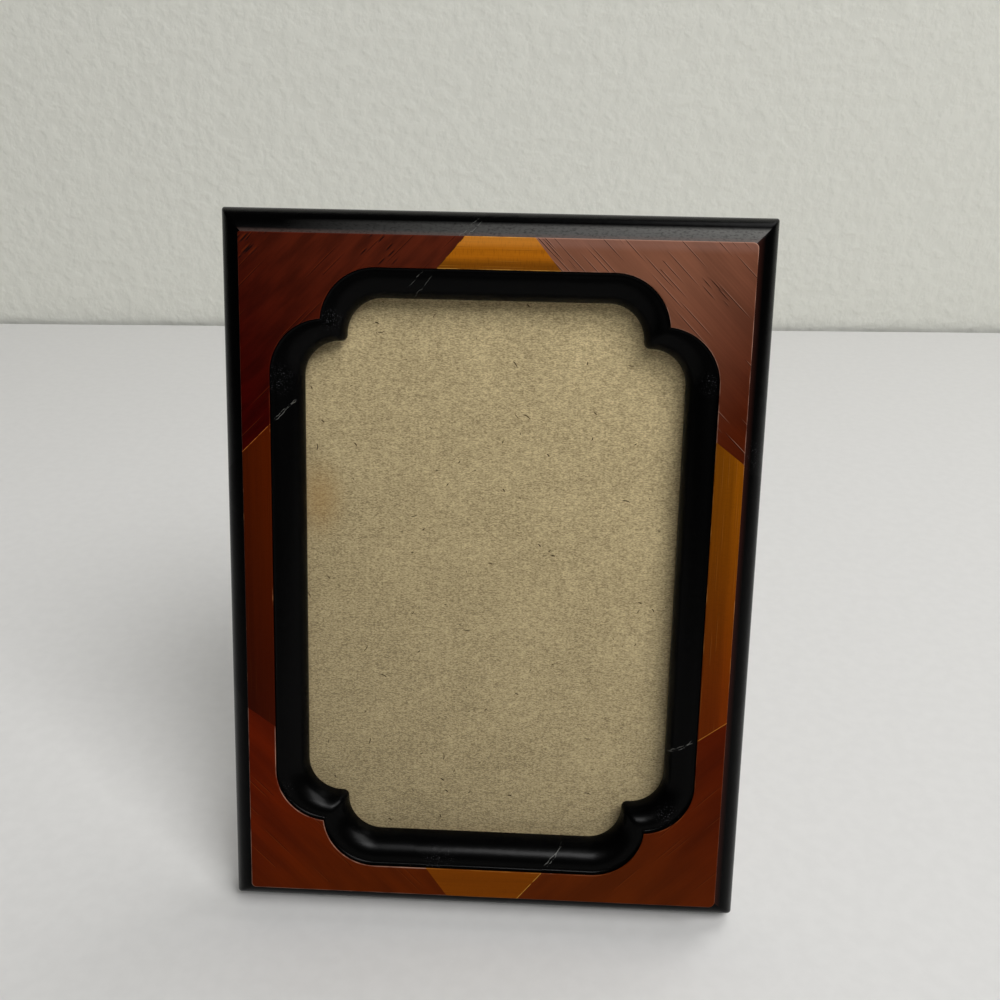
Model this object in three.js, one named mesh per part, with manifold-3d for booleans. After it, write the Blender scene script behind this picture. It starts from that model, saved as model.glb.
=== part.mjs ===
// A small standing picture frame: eight hardwood segments glued up with slanted joints and routed on both
// edges, with a glazed picture space behind a lobed opening and a hinged strut to lean on.
// Millimetres and degrees. +Z is up, the picture faces -Y, and the frame leans back on its strut.
import * as THREE from 'three';
import { mergeVertices } from 'three/addons/utils/BufferGeometryUtils.js';
import Module from 'manifold-3d';

// The picture and the moulding around it
const PICTURE_WIDTH = 89;
const PICTURE_HEIGHT = 127;
const PICTURE_PLAY = 0.7; // room on each side of the picture in its rebate
const LIP_COVER_SIDES = 3.4; // how far the lip covers the picture's long edges
const LIP_COVER_ENDS = 2.2; // how far the lip covers the picture's short edges
const BEAD_WIDTH = 6.3; // inner routed bead, from the polished face to the sight edge
const FLAT_WIDTH_SIDES = 6.2; // polished face of the left and right members
const FLAT_WIDTH_ENDS = 6.7; // polished face of the top and bottom members
const EDGE_WIDTH = 5.4; // outer routed edge, from the polished face to the side

// The opening's corners: a tall and a wide round-cornered rectangle joined, so each corner steps in
const SIGHT_CORNER_STEP = 9.3;
const SIGHT_CORNER_RADIUS = 7.7;
const FACE_CORNER_STEP = 10.75;
const FACE_CORNER_RADIUS = 11.8;

// Depths of the routed profiles, from the polished face
const BEAD_STEP = 1.2;
const BEAD_SHELF = 1.0;
const BEAD_ROUND = 4.7;
const SIGHT_WALL = 0.6;
const EDGE_STEP = 2.6;
const EDGE_ROUND = 6.2;

// The slanted joints between corner blocks and side pieces
const JOINT_SETBACK = 5.3; // along the sight edge, from where its curve begins
const RAIL_OUTER_LENGTH = 4.6; // top and bottom side pieces, at the very edge
const STILE_OUTER_LENGTH = 50; // left and right side pieces, at the very edge
const GLUE_GAP = 0.3; // along the member

// What the rebate holds
const GLASS_THICKNESS = 2;
const CARD_THICKNESS = 1.2;
const BOARD_THICKNESS = 3;
const FIT_GAP = 0.3; // between pieces that rest on or run in each other

// The strut and its hinge
const LEAN = 15; // of the frame, from upright
const STRUT_ANGLE = 30; // between the open strut and the back
const HINGE_DROP = 28; // from the board's top edge to the hinge pin
const STRUT_THICKNESS = 4;
const STRUT_TOP_WIDTH = 22;
const STRUT_FOOT_WIDTH = 36;
const STRUT_NECK = 9; // straight part below the pin, before the strut widens
const STRUT_STANDOFF = 1.6; // from the bracket's plate to the folded strut
const PIN_DIAMETER = 2;
const PIN_HEAD_DIAMETER = 3.6;
const PIN_HEAD_THICKNESS = 0.8;
const BRACKET_SHEET = 0.8;
const BRACKET_TAB = 14; // plate above the pin
const BRACKET_SKIRT = 4; // plate below the pin
const EAR_RADIUS = 3.2;
const RIVET_SPACING = 12;
const RIVET_EDGE = 5; // from the plate's top edge to the rivets
const RIVET_DIAMETER = 2.4;
const RIVET_HEAD_DIAMETER = 4.6;
const RIVET_HEAD_HEIGHT = 0.9;
const RIVET_TAIL_THICKNESS = 0.5;

// The turn buttons and their screws
const BUTTON_WIDTH = 7;
const BUTTON_THICKNESS = 1;
const BUTTON_OVERLAP = 6.5; // over the backing board
const SCREW_DIAMETER = 2.4;
const SCREW_DEPTH = 7; // into the wood
const SCREW_POINT = 1.6;
const SCREW_HEAD_DIAMETER = 4.8;
const SCREW_HEAD_HEIGHT = 1.5;

// How finely curves are cut
const LOBE_STEPS = 7;
const ROUND_STEPS = 5;
const CIRCLE_STEPS = 20;
const DOME_STEPS = 4;

const wood = (color) => new THREE.MeshStandardMaterial({ color, roughness: 0.35, metalness: 0 });
const MAHOGANY = wood(0x4a1a0c);
const AMBER = wood(0xa0641c);
const STRUT_WOOD = wood(0x2a211c);
const GLASS = new THREE.MeshStandardMaterial({ color: 0xdfe8e6, roughness: 0.05, metalness: 0 });
const CHIPBOARD = new THREE.MeshStandardMaterial({ color: 0xa09068, roughness: 0.9, metalness: 0 });
const BACKING = new THREE.MeshStandardMaterial({ color: 0x231f1d, roughness: 0.85, metalness: 0 });
const STEEL = new THREE.MeshStandardMaterial({ color: 0xa9abae, roughness: 0.4, metalness: 1 });
const BRASS = new THREE.MeshStandardMaterial({ color: 0xb08a45, roughness: 0.4, metalness: 1 });

// Half sizes of each outline, worked outwards from the picture, in the frame's own plane (x right, y up)
const outlineAt = (sides, ends) => new THREE.Vector2(PICTURE_WIDTH / 2 + sides, PICTURE_HEIGHT / 2 + ends);
const rebate = outlineAt(PICTURE_PLAY, PICTURE_PLAY);
const sight = outlineAt(-LIP_COVER_SIDES, -LIP_COVER_ENDS);
const faceInner = sight.clone().addScalar(BEAD_WIDTH);
const faceOuter = faceInner.clone().add(new THREE.Vector2(FLAT_WIDTH_SIDES, FLAT_WIDTH_ENDS));
const outer = faceOuter.clone().addScalar(EDGE_WIDTH);

// Depths in the frame's own frame (z is out of the polished face)
const lipBack = -(BEAD_STEP + BEAD_ROUND + SIGHT_WALL);
const glassFront = lipBack - FIT_GAP;
const cardFront = glassFront - GLASS_THICKNESS - FIT_GAP;
const boardFront = cardFront - CARD_THICKNESS - FIT_GAP;
const boardBack = boardFront - BOARD_THICKNESS;
const frameBack = boardBack;

const radians = THREE.MathUtils.degToRad;
const lean = radians(LEAN);
const strutAngle = radians(STRUT_ANGLE);

const wasm = await Module();
wasm.setup();

/** A closed geometry as a solid that can be cut and joined. */
function solidOf(geometry) {
  const bare = geometry.clone();
  bare.deleteAttribute('normal');
  bare.deleteAttribute('uv');
  const merged = mergeVertices(bare);
  const vertProperties = new Float32Array(merged.attributes.position.array);
  const triVerts = new Uint32Array(merged.index.array);
  return new wasm.Manifold(new wasm.Mesh({ numProp: 3, vertProperties, triVerts }));
}

/** A solid as a geometry that a mesh can hold. */
function geometryOf(solid) {
  const { vertProperties, triVerts } = solid.getMesh();
  const geometry = new THREE.BufferGeometry();
  geometry.setAttribute('position', new THREE.BufferAttribute(new Float32Array(vertProperties), 3));
  geometry.setIndex(new THREE.BufferAttribute(new Uint32Array(triVerts), 1));
  geometry.computeVertexNormals();
  return geometry;
}

const cutFrom = (geometry, tool) => geometryOf(solidOf(geometry).subtract(solidOf(tool)));
const joined = (a, b) => geometryOf(solidOf(a).add(solidOf(b)));
const shared = (a, b) => geometryOf(solidOf(a).intersect(solidOf(b)));

/** A named mesh at a place in its group. */
function piece(name, geometry, material, x = 0, y = 0, z = 0) {
  const mesh = new THREE.Mesh(geometry, material);
  mesh.name = name;
  mesh.position.set(x, y, z);
  return mesh;
}

/** A round hole in a flat shape. */
function roundHole(x, y, diameter) {
  return new THREE.Path().absarc(x, y, diameter / 2, 0, 2 * Math.PI, true);
}

/** A flat shape as a plate, from z = 0 up to its thickness. */
function plate(shape, thickness) {
  const settings = { depth: thickness, bevelEnabled: false, curveSegments: CIRCLE_STEPS / 2 };
  return new THREE.ExtrudeGeometry(shape, settings);
}

/** A rectangle by its half sizes. */
function rectangle(halfX, halfY) {
  return new THREE.Shape([
    new THREE.Vector2(-halfX, -halfY),
    new THREE.Vector2(halfX, -halfY),
    new THREE.Vector2(halfX, halfY),
    new THREE.Vector2(-halfX, halfY),
  ]);
}

/** A turned piece about the z axis, from a profile of radius and height pairs. */
function turned(profile) {
  const points = profile.map(([radius, height]) => new THREE.Vector2(radius, height));
  return new THREE.LatheGeometry(points, CIRCLE_STEPS).rotateX(Math.PI / 2);
}

/** A domed head's profile, from its rim to its crown, rising from the base height. */
function dome(radius, height, base) {
  const points = [];
  for (let i = 0; i <= DOME_STEPS; i += 1) {
    const angle = (i / DOME_STEPS) * (Math.PI / 2);
    const across = i === DOME_STEPS ? 0 : radius * Math.cos(angle);
    points.push([across, base + height * Math.sin(angle)]);
  }
  return points;
}

/** One quarter of a lobed outline, from its straight side, through the cusp, to its straight end. */
function lobedCorner(half, step, radius) {
  const centre = new THREE.Vector2(half.x - radius, half.y - step - radius);
  const arcStep = Math.min(step, radius);
  const rise = Math.sqrt(radius ** 2 / 2 - arcStep ** 2 / 4);
  const arcEnd = Math.atan2(rise + arcStep / 2, rise - arcStep / 2);
  const cusp = new THREE.Vector2(centre.x + rise + arcStep / 2 - step, centre.y + rise + arcStep / 2);
  const lobe = new THREE.Path();
  lobe.absarc(centre.x, centre.y, radius, 0, arcEnd, false);
  lobe.lineTo(cusp.x, cusp.y);
  const wide = lobe.getSpacedPoints(LOBE_STEPS);
  const mirrored = wide.map((p) => new THREE.Vector2(cusp.x + p.y - cusp.y, cusp.y + p.x - cusp.x));
  return [...wide, ...mirrored.reverse().slice(1)];
}

/** One quarter of a rectangle, with as many points as a lobed corner and its corner level with the cusp. */
function squareCorner(half, sideStart, endStart) {
  const points = [];
  for (let i = 0; i <= LOBE_STEPS; i += 1) {
    points.push(new THREE.Vector2(half.x, THREE.MathUtils.lerp(sideStart, half.y, i / LOBE_STEPS)));
  }
  for (let i = 1; i <= LOBE_STEPS; i += 1) {
    points.push(new THREE.Vector2(THREE.MathUtils.lerp(half.x, endStart, i / LOBE_STEPS), half.y));
  }
  return points;
}

/** The moulding's section as a closed loop, from where its five outlines lie in the frame's plane. */
function mouldingSection(plan) {
  const at = (place, z) => new THREE.Vector3(place.x, place.y, z);
  const shelf = plan.faceInner.clone().lerp(plan.sight, BEAD_SHELF / BEAD_WIDTH);
  const loop = [at(plan.rebate, frameBack), at(plan.outer, frameBack)];
  for (let i = ROUND_STEPS; i >= 0; i -= 1) {
    const angle = (i / ROUND_STEPS) * (Math.PI / 2);
    const place = plan.faceOuter.clone().lerp(plan.outer, Math.sin(angle));
    loop.push(at(place, -EDGE_STEP - EDGE_ROUND * (1 - Math.cos(angle))));
  }
  loop.push(at(plan.faceOuter, 0), at(plan.faceInner, 0), at(plan.faceInner, -BEAD_STEP));
  for (let i = 0; i <= ROUND_STEPS; i += 1) {
    const angle = (i / ROUND_STEPS) * (Math.PI / 2);
    const place = shelf.clone().lerp(plan.sight, Math.sin(angle));
    loop.push(at(place, -BEAD_STEP - BEAD_ROUND * (1 - Math.cos(angle))));
  }
  loop.push(at(plan.sight, lipBack), at(plan.rebate, lipBack));
  return loop;
}

/** A length of moulding through a row of sections, closed by flat ends. */
function mouldingLength(sections) {
  const size = sections[0].length;
  const position = new Float32Array(sections.flat().flatMap((p) => [p.x, p.y, p.z]));
  const index = [];
  for (let s = 0; s + 1 < sections.length; s += 1) {
    for (let k = 0; k < size; k += 1) {
      const here = s * size + k;
      const next = s * size + ((k + 1) % size);
      index.push(here, next + size, next, here, here + size, next + size);
    }
  }
  const endFaces = (section) => {
    const inmost = section[section.length - 2];
    const flat = section.map((p) => new THREE.Vector2(Math.hypot(p.x - inmost.x, p.y - inmost.y), p.z));
    return THREE.ShapeUtils.triangulateShape(flat, []);
  };
  const last = (sections.length - 1) * size;
  for (const [a, b, c] of endFaces(sections[0])) {
    index.push(a, b, c);
  }
  for (const [a, b, c] of endFaces(sections[sections.length - 1])) {
    index.push(last + a, last + c, last + b);
  }
  const geometry = new THREE.BufferGeometry();
  geometry.setAttribute('position', new THREE.BufferAttribute(position, 3));
  geometry.setIndex(index);
  geometry.computeVertexNormals();
  return geometry;
}

const OUTLINES = { outer, faceOuter, faceInner, sight, rebate };
const sightCorner = lobedCorner(sight, SIGHT_CORNER_STEP, SIGHT_CORNER_RADIUS);
const faceCorner = lobedCorner(faceInner, FACE_CORNER_STEP, FACE_CORNER_RADIUS);
const sideCurveStart = sightCorner[0].y;
const endCurveStart = sightCorner[sightCorner.length - 1].x;

/** Where a joint crosses each outline, from its ends on the sight and outer edges, across the member. */
function crossings(atSight, atOuter, across) {
  const share = (half) => (half[across] - atSight[across]) / (atOuter[across] - atSight[across]);
  const place = (half) => atSight.clone().lerp(atOuter, share(half));
  return Object.fromEntries(Object.entries(OUTLINES).map(([name, half]) => [name, place(half)]));
}

/** The joint at the right end of the top rail, moved along the rail by a shift. */
function railJoint(shift) {
  const atSight = new THREE.Vector2(endCurveStart - JOINT_SETBACK + shift, sight.y);
  const atOuter = new THREE.Vector2(RAIL_OUTER_LENGTH / 2 + shift, outer.y);
  return crossings(atSight, atOuter, 'y');
}

/** The joint at the top end of the right stile, moved along the stile by a shift. */
function stileJoint(shift) {
  const atSight = new THREE.Vector2(sight.x, sideCurveStart - JOINT_SETBACK + shift);
  const atOuter = new THREE.Vector2(outer.x, STILE_OUTER_LENGTH / 2 + shift);
  return crossings(atSight, atOuter, 'x');
}

const flipped = (plan, signX, signY) => Object.fromEntries(
  Object.entries(plan).map(([name, p]) => [name, new THREE.Vector2(p.x * signX, p.y * signY)]),
);

const holeFor = (diameter) => diameter + 2 * FIT_GAP;
const screwX = (rebate.x + outer.x) / 2;
const screwY = sideCurveStart;

/** A corner block in the quarter given by two signs, with the pilot hole for its turn button's screw. */
function cornerBlock(signX, signY) {
  const square = (half) => squareCorner(half, sideCurveStart, endCurveStart);
  const rings = {
    outer: square(outer),
    faceOuter: square(faceOuter),
    faceInner: faceCorner,
    sight: sightCorner,
    rebate: square(rebate),
  };
  const planAt = (i) => Object.fromEntries(Object.entries(rings).map(([name, ring]) => [name, ring[i]]));
  const bend = sightCorner.map((_, i) => planAt(i));
  const plans = [stileJoint(GLUE_GAP / 2), ...bend, railJoint(GLUE_GAP / 2)];
  const placed = plans.map((plan) => flipped(plan, signX, signY));
  if (signX * signY < 0) {
    placed.reverse();
  }
  const block = mouldingLength(placed.map(mouldingSection));
  const pilotDepth = SCREW_DEPTH + SCREW_POINT + FIT_GAP;
  const pilotRadius = holeFor(SCREW_DIAMETER) / 2;
  const pilot = new THREE.CylinderGeometry(pilotRadius, pilotRadius, 2 * pilotDepth, CIRCLE_STEPS);
  pilot.rotateX(Math.PI / 2).translate(signX * screwX, signY * screwY, frameBack);
  return cutFrom(block, pilot);
}

/** A rail at the top or bottom. */
function rail(signY) {
  const end = railJoint(-GLUE_GAP / 2);
  const ends = [flipped(end, 1, signY), flipped(end, -1, signY)];
  return mouldingLength((signY > 0 ? ends : ends.reverse()).map(mouldingSection));
}

/** A stile at the left or right. */
function stile(signX) {
  const end = stileJoint(-GLUE_GAP / 2);
  const ends = [flipped(end, signX, -1), flipped(end, signX, 1)];
  return mouldingLength((signX > 0 ? ends : ends.reverse()).map(mouldingSection));
}

/** The glass pane and the card, which share the picture's outline. */
function picturePane(thickness) {
  return plate(rectangle(PICTURE_WIDTH / 2, PICTURE_HEIGHT / 2), thickness);
}

const pinY = PICTURE_HEIGHT / 2 - HINGE_DROP;
const plateBack = boardBack - FIT_GAP - BRACKET_SHEET;
const pinZ = plateBack - STRUT_STANDOFF - STRUT_THICKNESS / 2;
const rivetY = BRACKET_TAB - RIVET_EDGE;
const rivetXs = [-RIVET_SPACING / 2, RIVET_SPACING / 2];
const earInside = STRUT_TOP_WIDTH / 2 + FIT_GAP;
const earOutside = earInside + BRACKET_SHEET;

/** The backing board, with a hole and a recess at its front for each rivet. */
function backingBoard() {
  const shape = rectangle(PICTURE_WIDTH / 2, PICTURE_HEIGHT / 2);
  const recessDepth = RIVET_TAIL_THICKNESS + 2 * FIT_GAP;
  const recessed = rectangle(PICTURE_WIDTH / 2, PICTURE_HEIGHT / 2);
  for (const x of rivetXs) {
    shape.holes.push(roundHole(x, pinY + rivetY, holeFor(RIVET_DIAMETER)));
    recessed.holes.push(roundHole(x, pinY + rivetY, holeFor(RIVET_HEAD_DIAMETER)));
  }
  const back = plate(shape, BOARD_THICKNESS - recessDepth);
  const front = plate(recessed, recessDepth).translate(0, 0, BOARD_THICKNESS - recessDepth);
  return joined(back, front);
}

/** The hinge bracket about the pin: a plate for the rivets, and an ear at each side of the strut. */
function hingeBracket() {
  const sheet = new THREE.Shape([
    new THREE.Vector2(-earOutside, -BRACKET_SKIRT),
    new THREE.Vector2(earOutside, -BRACKET_SKIRT),
    new THREE.Vector2(earOutside, BRACKET_TAB),
    new THREE.Vector2(-earOutside, BRACKET_TAB),
  ]);
  for (const x of rivetXs) {
    sheet.holes.push(roundHole(x, rivetY, holeFor(RIVET_DIAMETER)));
  }
  let bracket = plate(sheet, BRACKET_SHEET).translate(0, 0, plateBack - pinZ);
  const ear = new THREE.Shape();
  ear.absarc(0, 0, EAR_RADIUS, Math.PI / 2, 1.5 * Math.PI, false);
  ear.lineTo(plateBack + BRACKET_SHEET - pinZ, -EAR_RADIUS);
  ear.lineTo(plateBack + BRACKET_SHEET - pinZ, EAR_RADIUS);
  ear.holes.push(roundHole(0, 0, holeFor(PIN_DIAMETER)));
  for (const x of [-earOutside, earInside]) {
    const upright = plate(ear, BRACKET_SHEET).rotateY(-Math.PI / 2).translate(x + BRACKET_SHEET, 0, 0);
    bracket = joined(bracket, upright);
  }
  return bracket;
}

/** The hinge pin along x, with a head peened on each end. */
function hingePin() {
  const half = earOutside + FIT_GAP;
  const tip = half + PIN_HEAD_THICKNESS;
  const profile = [
    [0, -tip],
    [PIN_HEAD_DIAMETER / 2, -tip],
    [PIN_HEAD_DIAMETER / 2, -half],
    [PIN_DIAMETER / 2, -half],
    [PIN_DIAMETER / 2, half],
    [PIN_HEAD_DIAMETER / 2, half],
    [PIN_HEAD_DIAMETER / 2, tip],
    [0, tip],
  ];
  return turned(profile).rotateY(Math.PI / 2);
}

/** A rivet through the bracket's plate and the board, with its domed head at the back (+z here). */
function bracketRivet() {
  const headBase = BRACKET_SHEET + 2 * FIT_GAP;
  const tailFront = -BOARD_THICKNESS + FIT_GAP;
  const tailBack = tailFront + RIVET_TAIL_THICKNESS;
  return turned([
    [0, tailFront],
    [RIVET_HEAD_DIAMETER / 2, tailFront],
    [RIVET_HEAD_DIAMETER / 2, tailBack],
    [RIVET_DIAMETER / 2, tailBack],
    [RIVET_DIAMETER / 2, headBase],
    ...dome(RIVET_HEAD_DIAMETER / 2, RIVET_HEAD_HEIGHT, headBase),
  ]);
}

const strutTilt = strutAngle - lean;
const pinHeight = (pinY + outer.y) * Math.cos(lean) + (pinZ - frameBack) * Math.sin(lean);
const strutLength = pinHeight / Math.cos(strutTilt);
const heelReach = STRUT_THICKNESS / 2 + STRUT_STANDOFF - FIT_GAP;
const heel = (heelReach - (STRUT_THICKNESS / 2) * Math.cos(strutAngle)) / Math.sin(strutAngle);

/** The strut about its pin, folded. Its heel stops on the open bracket, and its foot is cut to the floor. */
function easelStrut() {
  const halfThick = STRUT_THICKNESS / 2;
  const footSlope = Math.tan(strutTilt) * halfThick;
  const side = new THREE.Shape([
    new THREE.Vector2(-halfThick, heel),
    new THREE.Vector2(-halfThick, -strutLength - footSlope),
    new THREE.Vector2(halfThick, -strutLength + footSlope),
    new THREE.Vector2(halfThick, heel),
  ]);
  side.holes.push(roundHole(0, 0, holeFor(PIN_DIAMETER)));
  const blank = plate(side, STRUT_FOOT_WIDTH).rotateY(-Math.PI / 2).translate(STRUT_FOOT_WIDTH / 2, 0, 0);
  const end = strutLength + STRUT_THICKNESS;
  const outline = new THREE.Shape([
    new THREE.Vector2(STRUT_TOP_WIDTH / 2, heel + STRUT_THICKNESS),
    new THREE.Vector2(-STRUT_TOP_WIDTH / 2, heel + STRUT_THICKNESS),
    new THREE.Vector2(-STRUT_TOP_WIDTH / 2, -STRUT_NECK),
    new THREE.Vector2(-STRUT_FOOT_WIDTH / 2, -end),
    new THREE.Vector2(STRUT_FOOT_WIDTH / 2, -end),
    new THREE.Vector2(STRUT_TOP_WIDTH / 2, -STRUT_NECK),
  ]);
  return shared(blank, plate(outline, 2 * STRUT_THICKNESS).translate(0, 0, -STRUT_THICKNESS));
}

const buttonReach = screwX - PICTURE_WIDTH / 2 + BUTTON_OVERLAP - BUTTON_WIDTH / 2;

/** A turn button about its screw, with its arm along +x. */
function turnButton() {
  const shape = new THREE.Shape();
  shape.absarc(buttonReach, 0, BUTTON_WIDTH / 2, -Math.PI / 2, Math.PI / 2, false);
  shape.absarc(0, 0, BUTTON_WIDTH / 2, Math.PI / 2, 1.5 * Math.PI, false);
  shape.holes.push(roundHole(0, 0, holeFor(SCREW_DIAMETER)));
  return plate(shape, BUTTON_THICKNESS);
}

/** A round-head screw along z, with its head above the button and its point in the wood below z = 0. */
function buttonScrew() {
  const headBase = BUTTON_THICKNESS + 2 * FIT_GAP;
  return turned([
    [0, -SCREW_DEPTH - SCREW_POINT],
    [SCREW_DIAMETER / 2, -SCREW_DEPTH],
    [SCREW_DIAMETER / 2, headBase],
    ...dome(SCREW_HEAD_DIAMETER / 2, SCREW_HEAD_HEIGHT, headBase),
  ]);
}

/** Everything that the frame carries, in the frame's own frame: x right, y up, z out of the polished face. */
function frameGroup() {
  const frame = new THREE.Group();
  const quarters = [
    ['top_right', 1, 1],
    ['top_left', -1, 1],
    ['bottom_left', -1, -1],
    ['bottom_right', 1, -1],
  ];
  for (const [place, signX, signY] of quarters) {
    frame.add(piece(`corner_block_${place}`, cornerBlock(signX, signY), MAHOGANY));
    const [x, y] = [signX * screwX, signY * screwY];
    const screw = piece(`button_screw_${place}`, buttonScrew(), BRASS, x, y, frameBack);
    screw.rotation.y = Math.PI;
    const buttonBack = frameBack - FIT_GAP - BUTTON_THICKNESS;
    const button = piece(`turn_button_${place}`, turnButton(), BRASS, x, y, buttonBack);
    button.rotation.z = signX > 0 ? Math.PI : 0;
    frame.add(screw, button);
  }
  frame.add(
    piece('rail_top', rail(1), AMBER),
    piece('rail_bottom', rail(-1), AMBER),
    piece('stile_left', stile(-1), AMBER),
    piece('stile_right', stile(1), AMBER),
    piece('glass_pane', picturePane(GLASS_THICKNESS), GLASS, 0, 0, glassFront - GLASS_THICKNESS),
    piece('picture_card', picturePane(CARD_THICKNESS), CHIPBOARD, 0, 0, cardFront - CARD_THICKNESS),
    piece('backing_board', backingBoard(), BACKING, 0, 0, boardBack),
    piece('hinge_bracket', hingeBracket(), STEEL, 0, pinY, pinZ),
    piece('hinge_pin', hingePin(), STEEL, 0, pinY, pinZ),
  );
  for (const [place, x] of [['left', rivetXs[0]], ['right', rivetXs[1]]]) {
    const rivet = piece(`bracket_rivet_${place}`, bracketRivet(), STEEL, x, pinY + rivetY, boardBack);
    rivet.rotation.y = Math.PI;
    frame.add(rivet);
  }
  const strut = piece('easel_strut', easelStrut(), STRUT_WOOD, 0, pinY, pinZ);
  strut.rotation.x = strutAngle;
  frame.add(strut);
  frame.rotation.x = Math.PI / 2 - lean;
  return frame;
}

const part = new THREE.Group();
const standing = frameGroup();
part.add(standing);

// The origin is the middle of the part's box, on the floor
const box = new THREE.Box3().setFromObject(part, true);
const middle = box.getCenter(new THREE.Vector3());
standing.position.set(-middle.x, -middle.y, -box.min.z);
part.updateMatrixWorld(true);

export default part;
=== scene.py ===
"""A small standing picture frame of eight glued wood segments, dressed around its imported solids.

Sizes are millimetres in the plane of the polished face: x across, y up and z out of the face. One matrix
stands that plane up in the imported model's own frame, in metres.
"""

import logging
import math
from abc import ABC, abstractmethod
from collections.abc import Callable
from dataclasses import dataclass, replace
from enum import Enum, IntEnum

import bmesh
import bpy
import numpy as np
from mathutils import Matrix, Vector


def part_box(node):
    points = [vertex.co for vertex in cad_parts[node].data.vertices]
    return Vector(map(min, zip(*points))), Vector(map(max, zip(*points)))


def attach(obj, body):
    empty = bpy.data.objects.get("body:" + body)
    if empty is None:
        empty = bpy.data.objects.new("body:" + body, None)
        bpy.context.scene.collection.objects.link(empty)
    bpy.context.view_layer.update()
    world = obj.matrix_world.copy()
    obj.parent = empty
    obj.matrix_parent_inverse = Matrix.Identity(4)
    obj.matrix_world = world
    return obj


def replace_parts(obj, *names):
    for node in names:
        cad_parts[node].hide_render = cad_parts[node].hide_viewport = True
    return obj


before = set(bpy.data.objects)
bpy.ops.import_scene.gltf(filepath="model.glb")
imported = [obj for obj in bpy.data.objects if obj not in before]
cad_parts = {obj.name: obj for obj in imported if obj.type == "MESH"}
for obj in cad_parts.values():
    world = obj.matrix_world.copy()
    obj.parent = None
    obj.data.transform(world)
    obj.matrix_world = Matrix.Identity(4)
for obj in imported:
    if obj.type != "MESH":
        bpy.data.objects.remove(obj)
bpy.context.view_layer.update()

Tree = bpy.types.NodeTree
Node = bpy.types.Node
Socket = bpy.types.NodeSocket
Mesh = bpy.types.Mesh
Material = bpy.types.Material
Pair = tuple[float, float]
Triple = tuple[float, float, float]

MM = 0.001
# The z of the frame's back
FRAME_BACK = -13.6
# How far apart the wood patterns of two segments lie, so that no two are alike
BOARDS_APART = 130.0
# Faces that meet at more than this have a sharp edge between them
SHARP_ANGLE = math.radians(33)
# Faces that meet at less than this lie in one plane
FLAT_ANGLE = math.radians(1)
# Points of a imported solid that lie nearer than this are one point
MERGE_DISTANCE = 0.001 * MM
# The bevel profile that is an arc of a circle
ARC_PROFILE = 0.5
# The sine and cosine of half a right angle
DIAGONAL = math.sqrt(0.5)

log = logging.getLogger("picture_frame")


class Band(IntEnum):
    """What covers a strip of a wood segment, as the number of its material slot."""

    POLISHED = 0
    LACQUER = 1
    BARE = 2


class Quarter(Enum):
    """A quarter of the frame, as the signs of its x and y."""

    TOP_RIGHT = (1, 1)
    TOP_LEFT = (-1, 1)
    BOTTOM_LEFT = (-1, -1)
    BOTTOM_RIGHT = (1, -1)

    @property
    def label(self) -> str:
        """The quarter's part of a piece's name."""
        return self.name.lower()


class Side(Enum):
    """A side of the frame: the axis that its amber piece lies across, and the sign along it."""

    RIGHT = (0, 1)
    LEFT = (0, -1)
    TOP = (1, 1)
    BOTTOM = (1, -1)

    @property
    def label(self) -> str:
        """The name of the side's amber piece."""
        return f"{('stile', 'rail')[self.value[0]]}_{self.name.lower()}"


# How far each amber piece reaches, at the inner and at the outer edge of the polished face. The blank was
# glued up by hand, so the two ends of a piece differ a little.
JOINTS = {
    (Side.TOP, -1): (12.2, 6.4),
    (Side.TOP, 1): (13.6, 8.1),
    (Side.BOTTOM, -1): (12.9, 8.0),
    (Side.BOTTOM, 1): (13.7, 8.2),
    (Side.LEFT, -1): (34.3, 30.0),
    (Side.LEFT, 1): (34.4, 28.2),
    (Side.RIGHT, -1): (33.9, 29.4),
    (Side.RIGHT, 1): (33.2, 28.5),
}

# The radius of each corner of the polished face
FACE_CORNERS = {
    Quarter.TOP_RIGHT: 1.2,
    Quarter.TOP_LEFT: 0.5,
    Quarter.BOTTOM_LEFT: 1.0,
    Quarter.BOTTOM_RIGHT: 1.4,
}


def linear(colour: str) -> tuple[float, float, float, float]:
    """Turns an sRGB hex colour into linear red, green, blue and an alpha of 1, by the standard's curve."""
    values = [int(colour[start : start + 2], 16) / 255 for start in (1, 3, 5)]
    return (*(v / 12.92 if v <= 0.04045 else ((v + 0.055) / 1.055) ** 2.4 for v in values), 1.0)


def add_node(
    tree: Tree, kind: str, inputs: dict | None = None, output: str | None = None, **settings
) -> Socket | None:
    """Adds a node to a tree, with its settings and links.

    Args:
        tree: the tree to add to.
        kind: the node's type name.
        inputs: for each input by name, a value, a hex colour or the socket that feeds it. A list fills the
            inputs of one name in turn.
        output: the output to hand back, if it isn't the first.
        settings: the node's own properties.

    Returns:
        The named output, or the first one in use.
    """
    node = tree.nodes.new(kind)
    for name, value in settings.items():
        setattr(node, name, value)
    for name, given in (inputs or {}).items():
        sockets = [socket for socket in node.inputs if socket.enabled and socket.name == name]
        for socket, value in zip(sockets, given if isinstance(given, list) else [given]):
            if isinstance(value, Socket):
                tree.links.new(value, socket)
            else:
                socket.default_value = linear(value) if isinstance(value, str) else value
    outputs = [socket for socket in node.outputs if socket.enabled and output in (None, socket.name)]
    return outputs[0] if outputs else None


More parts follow.
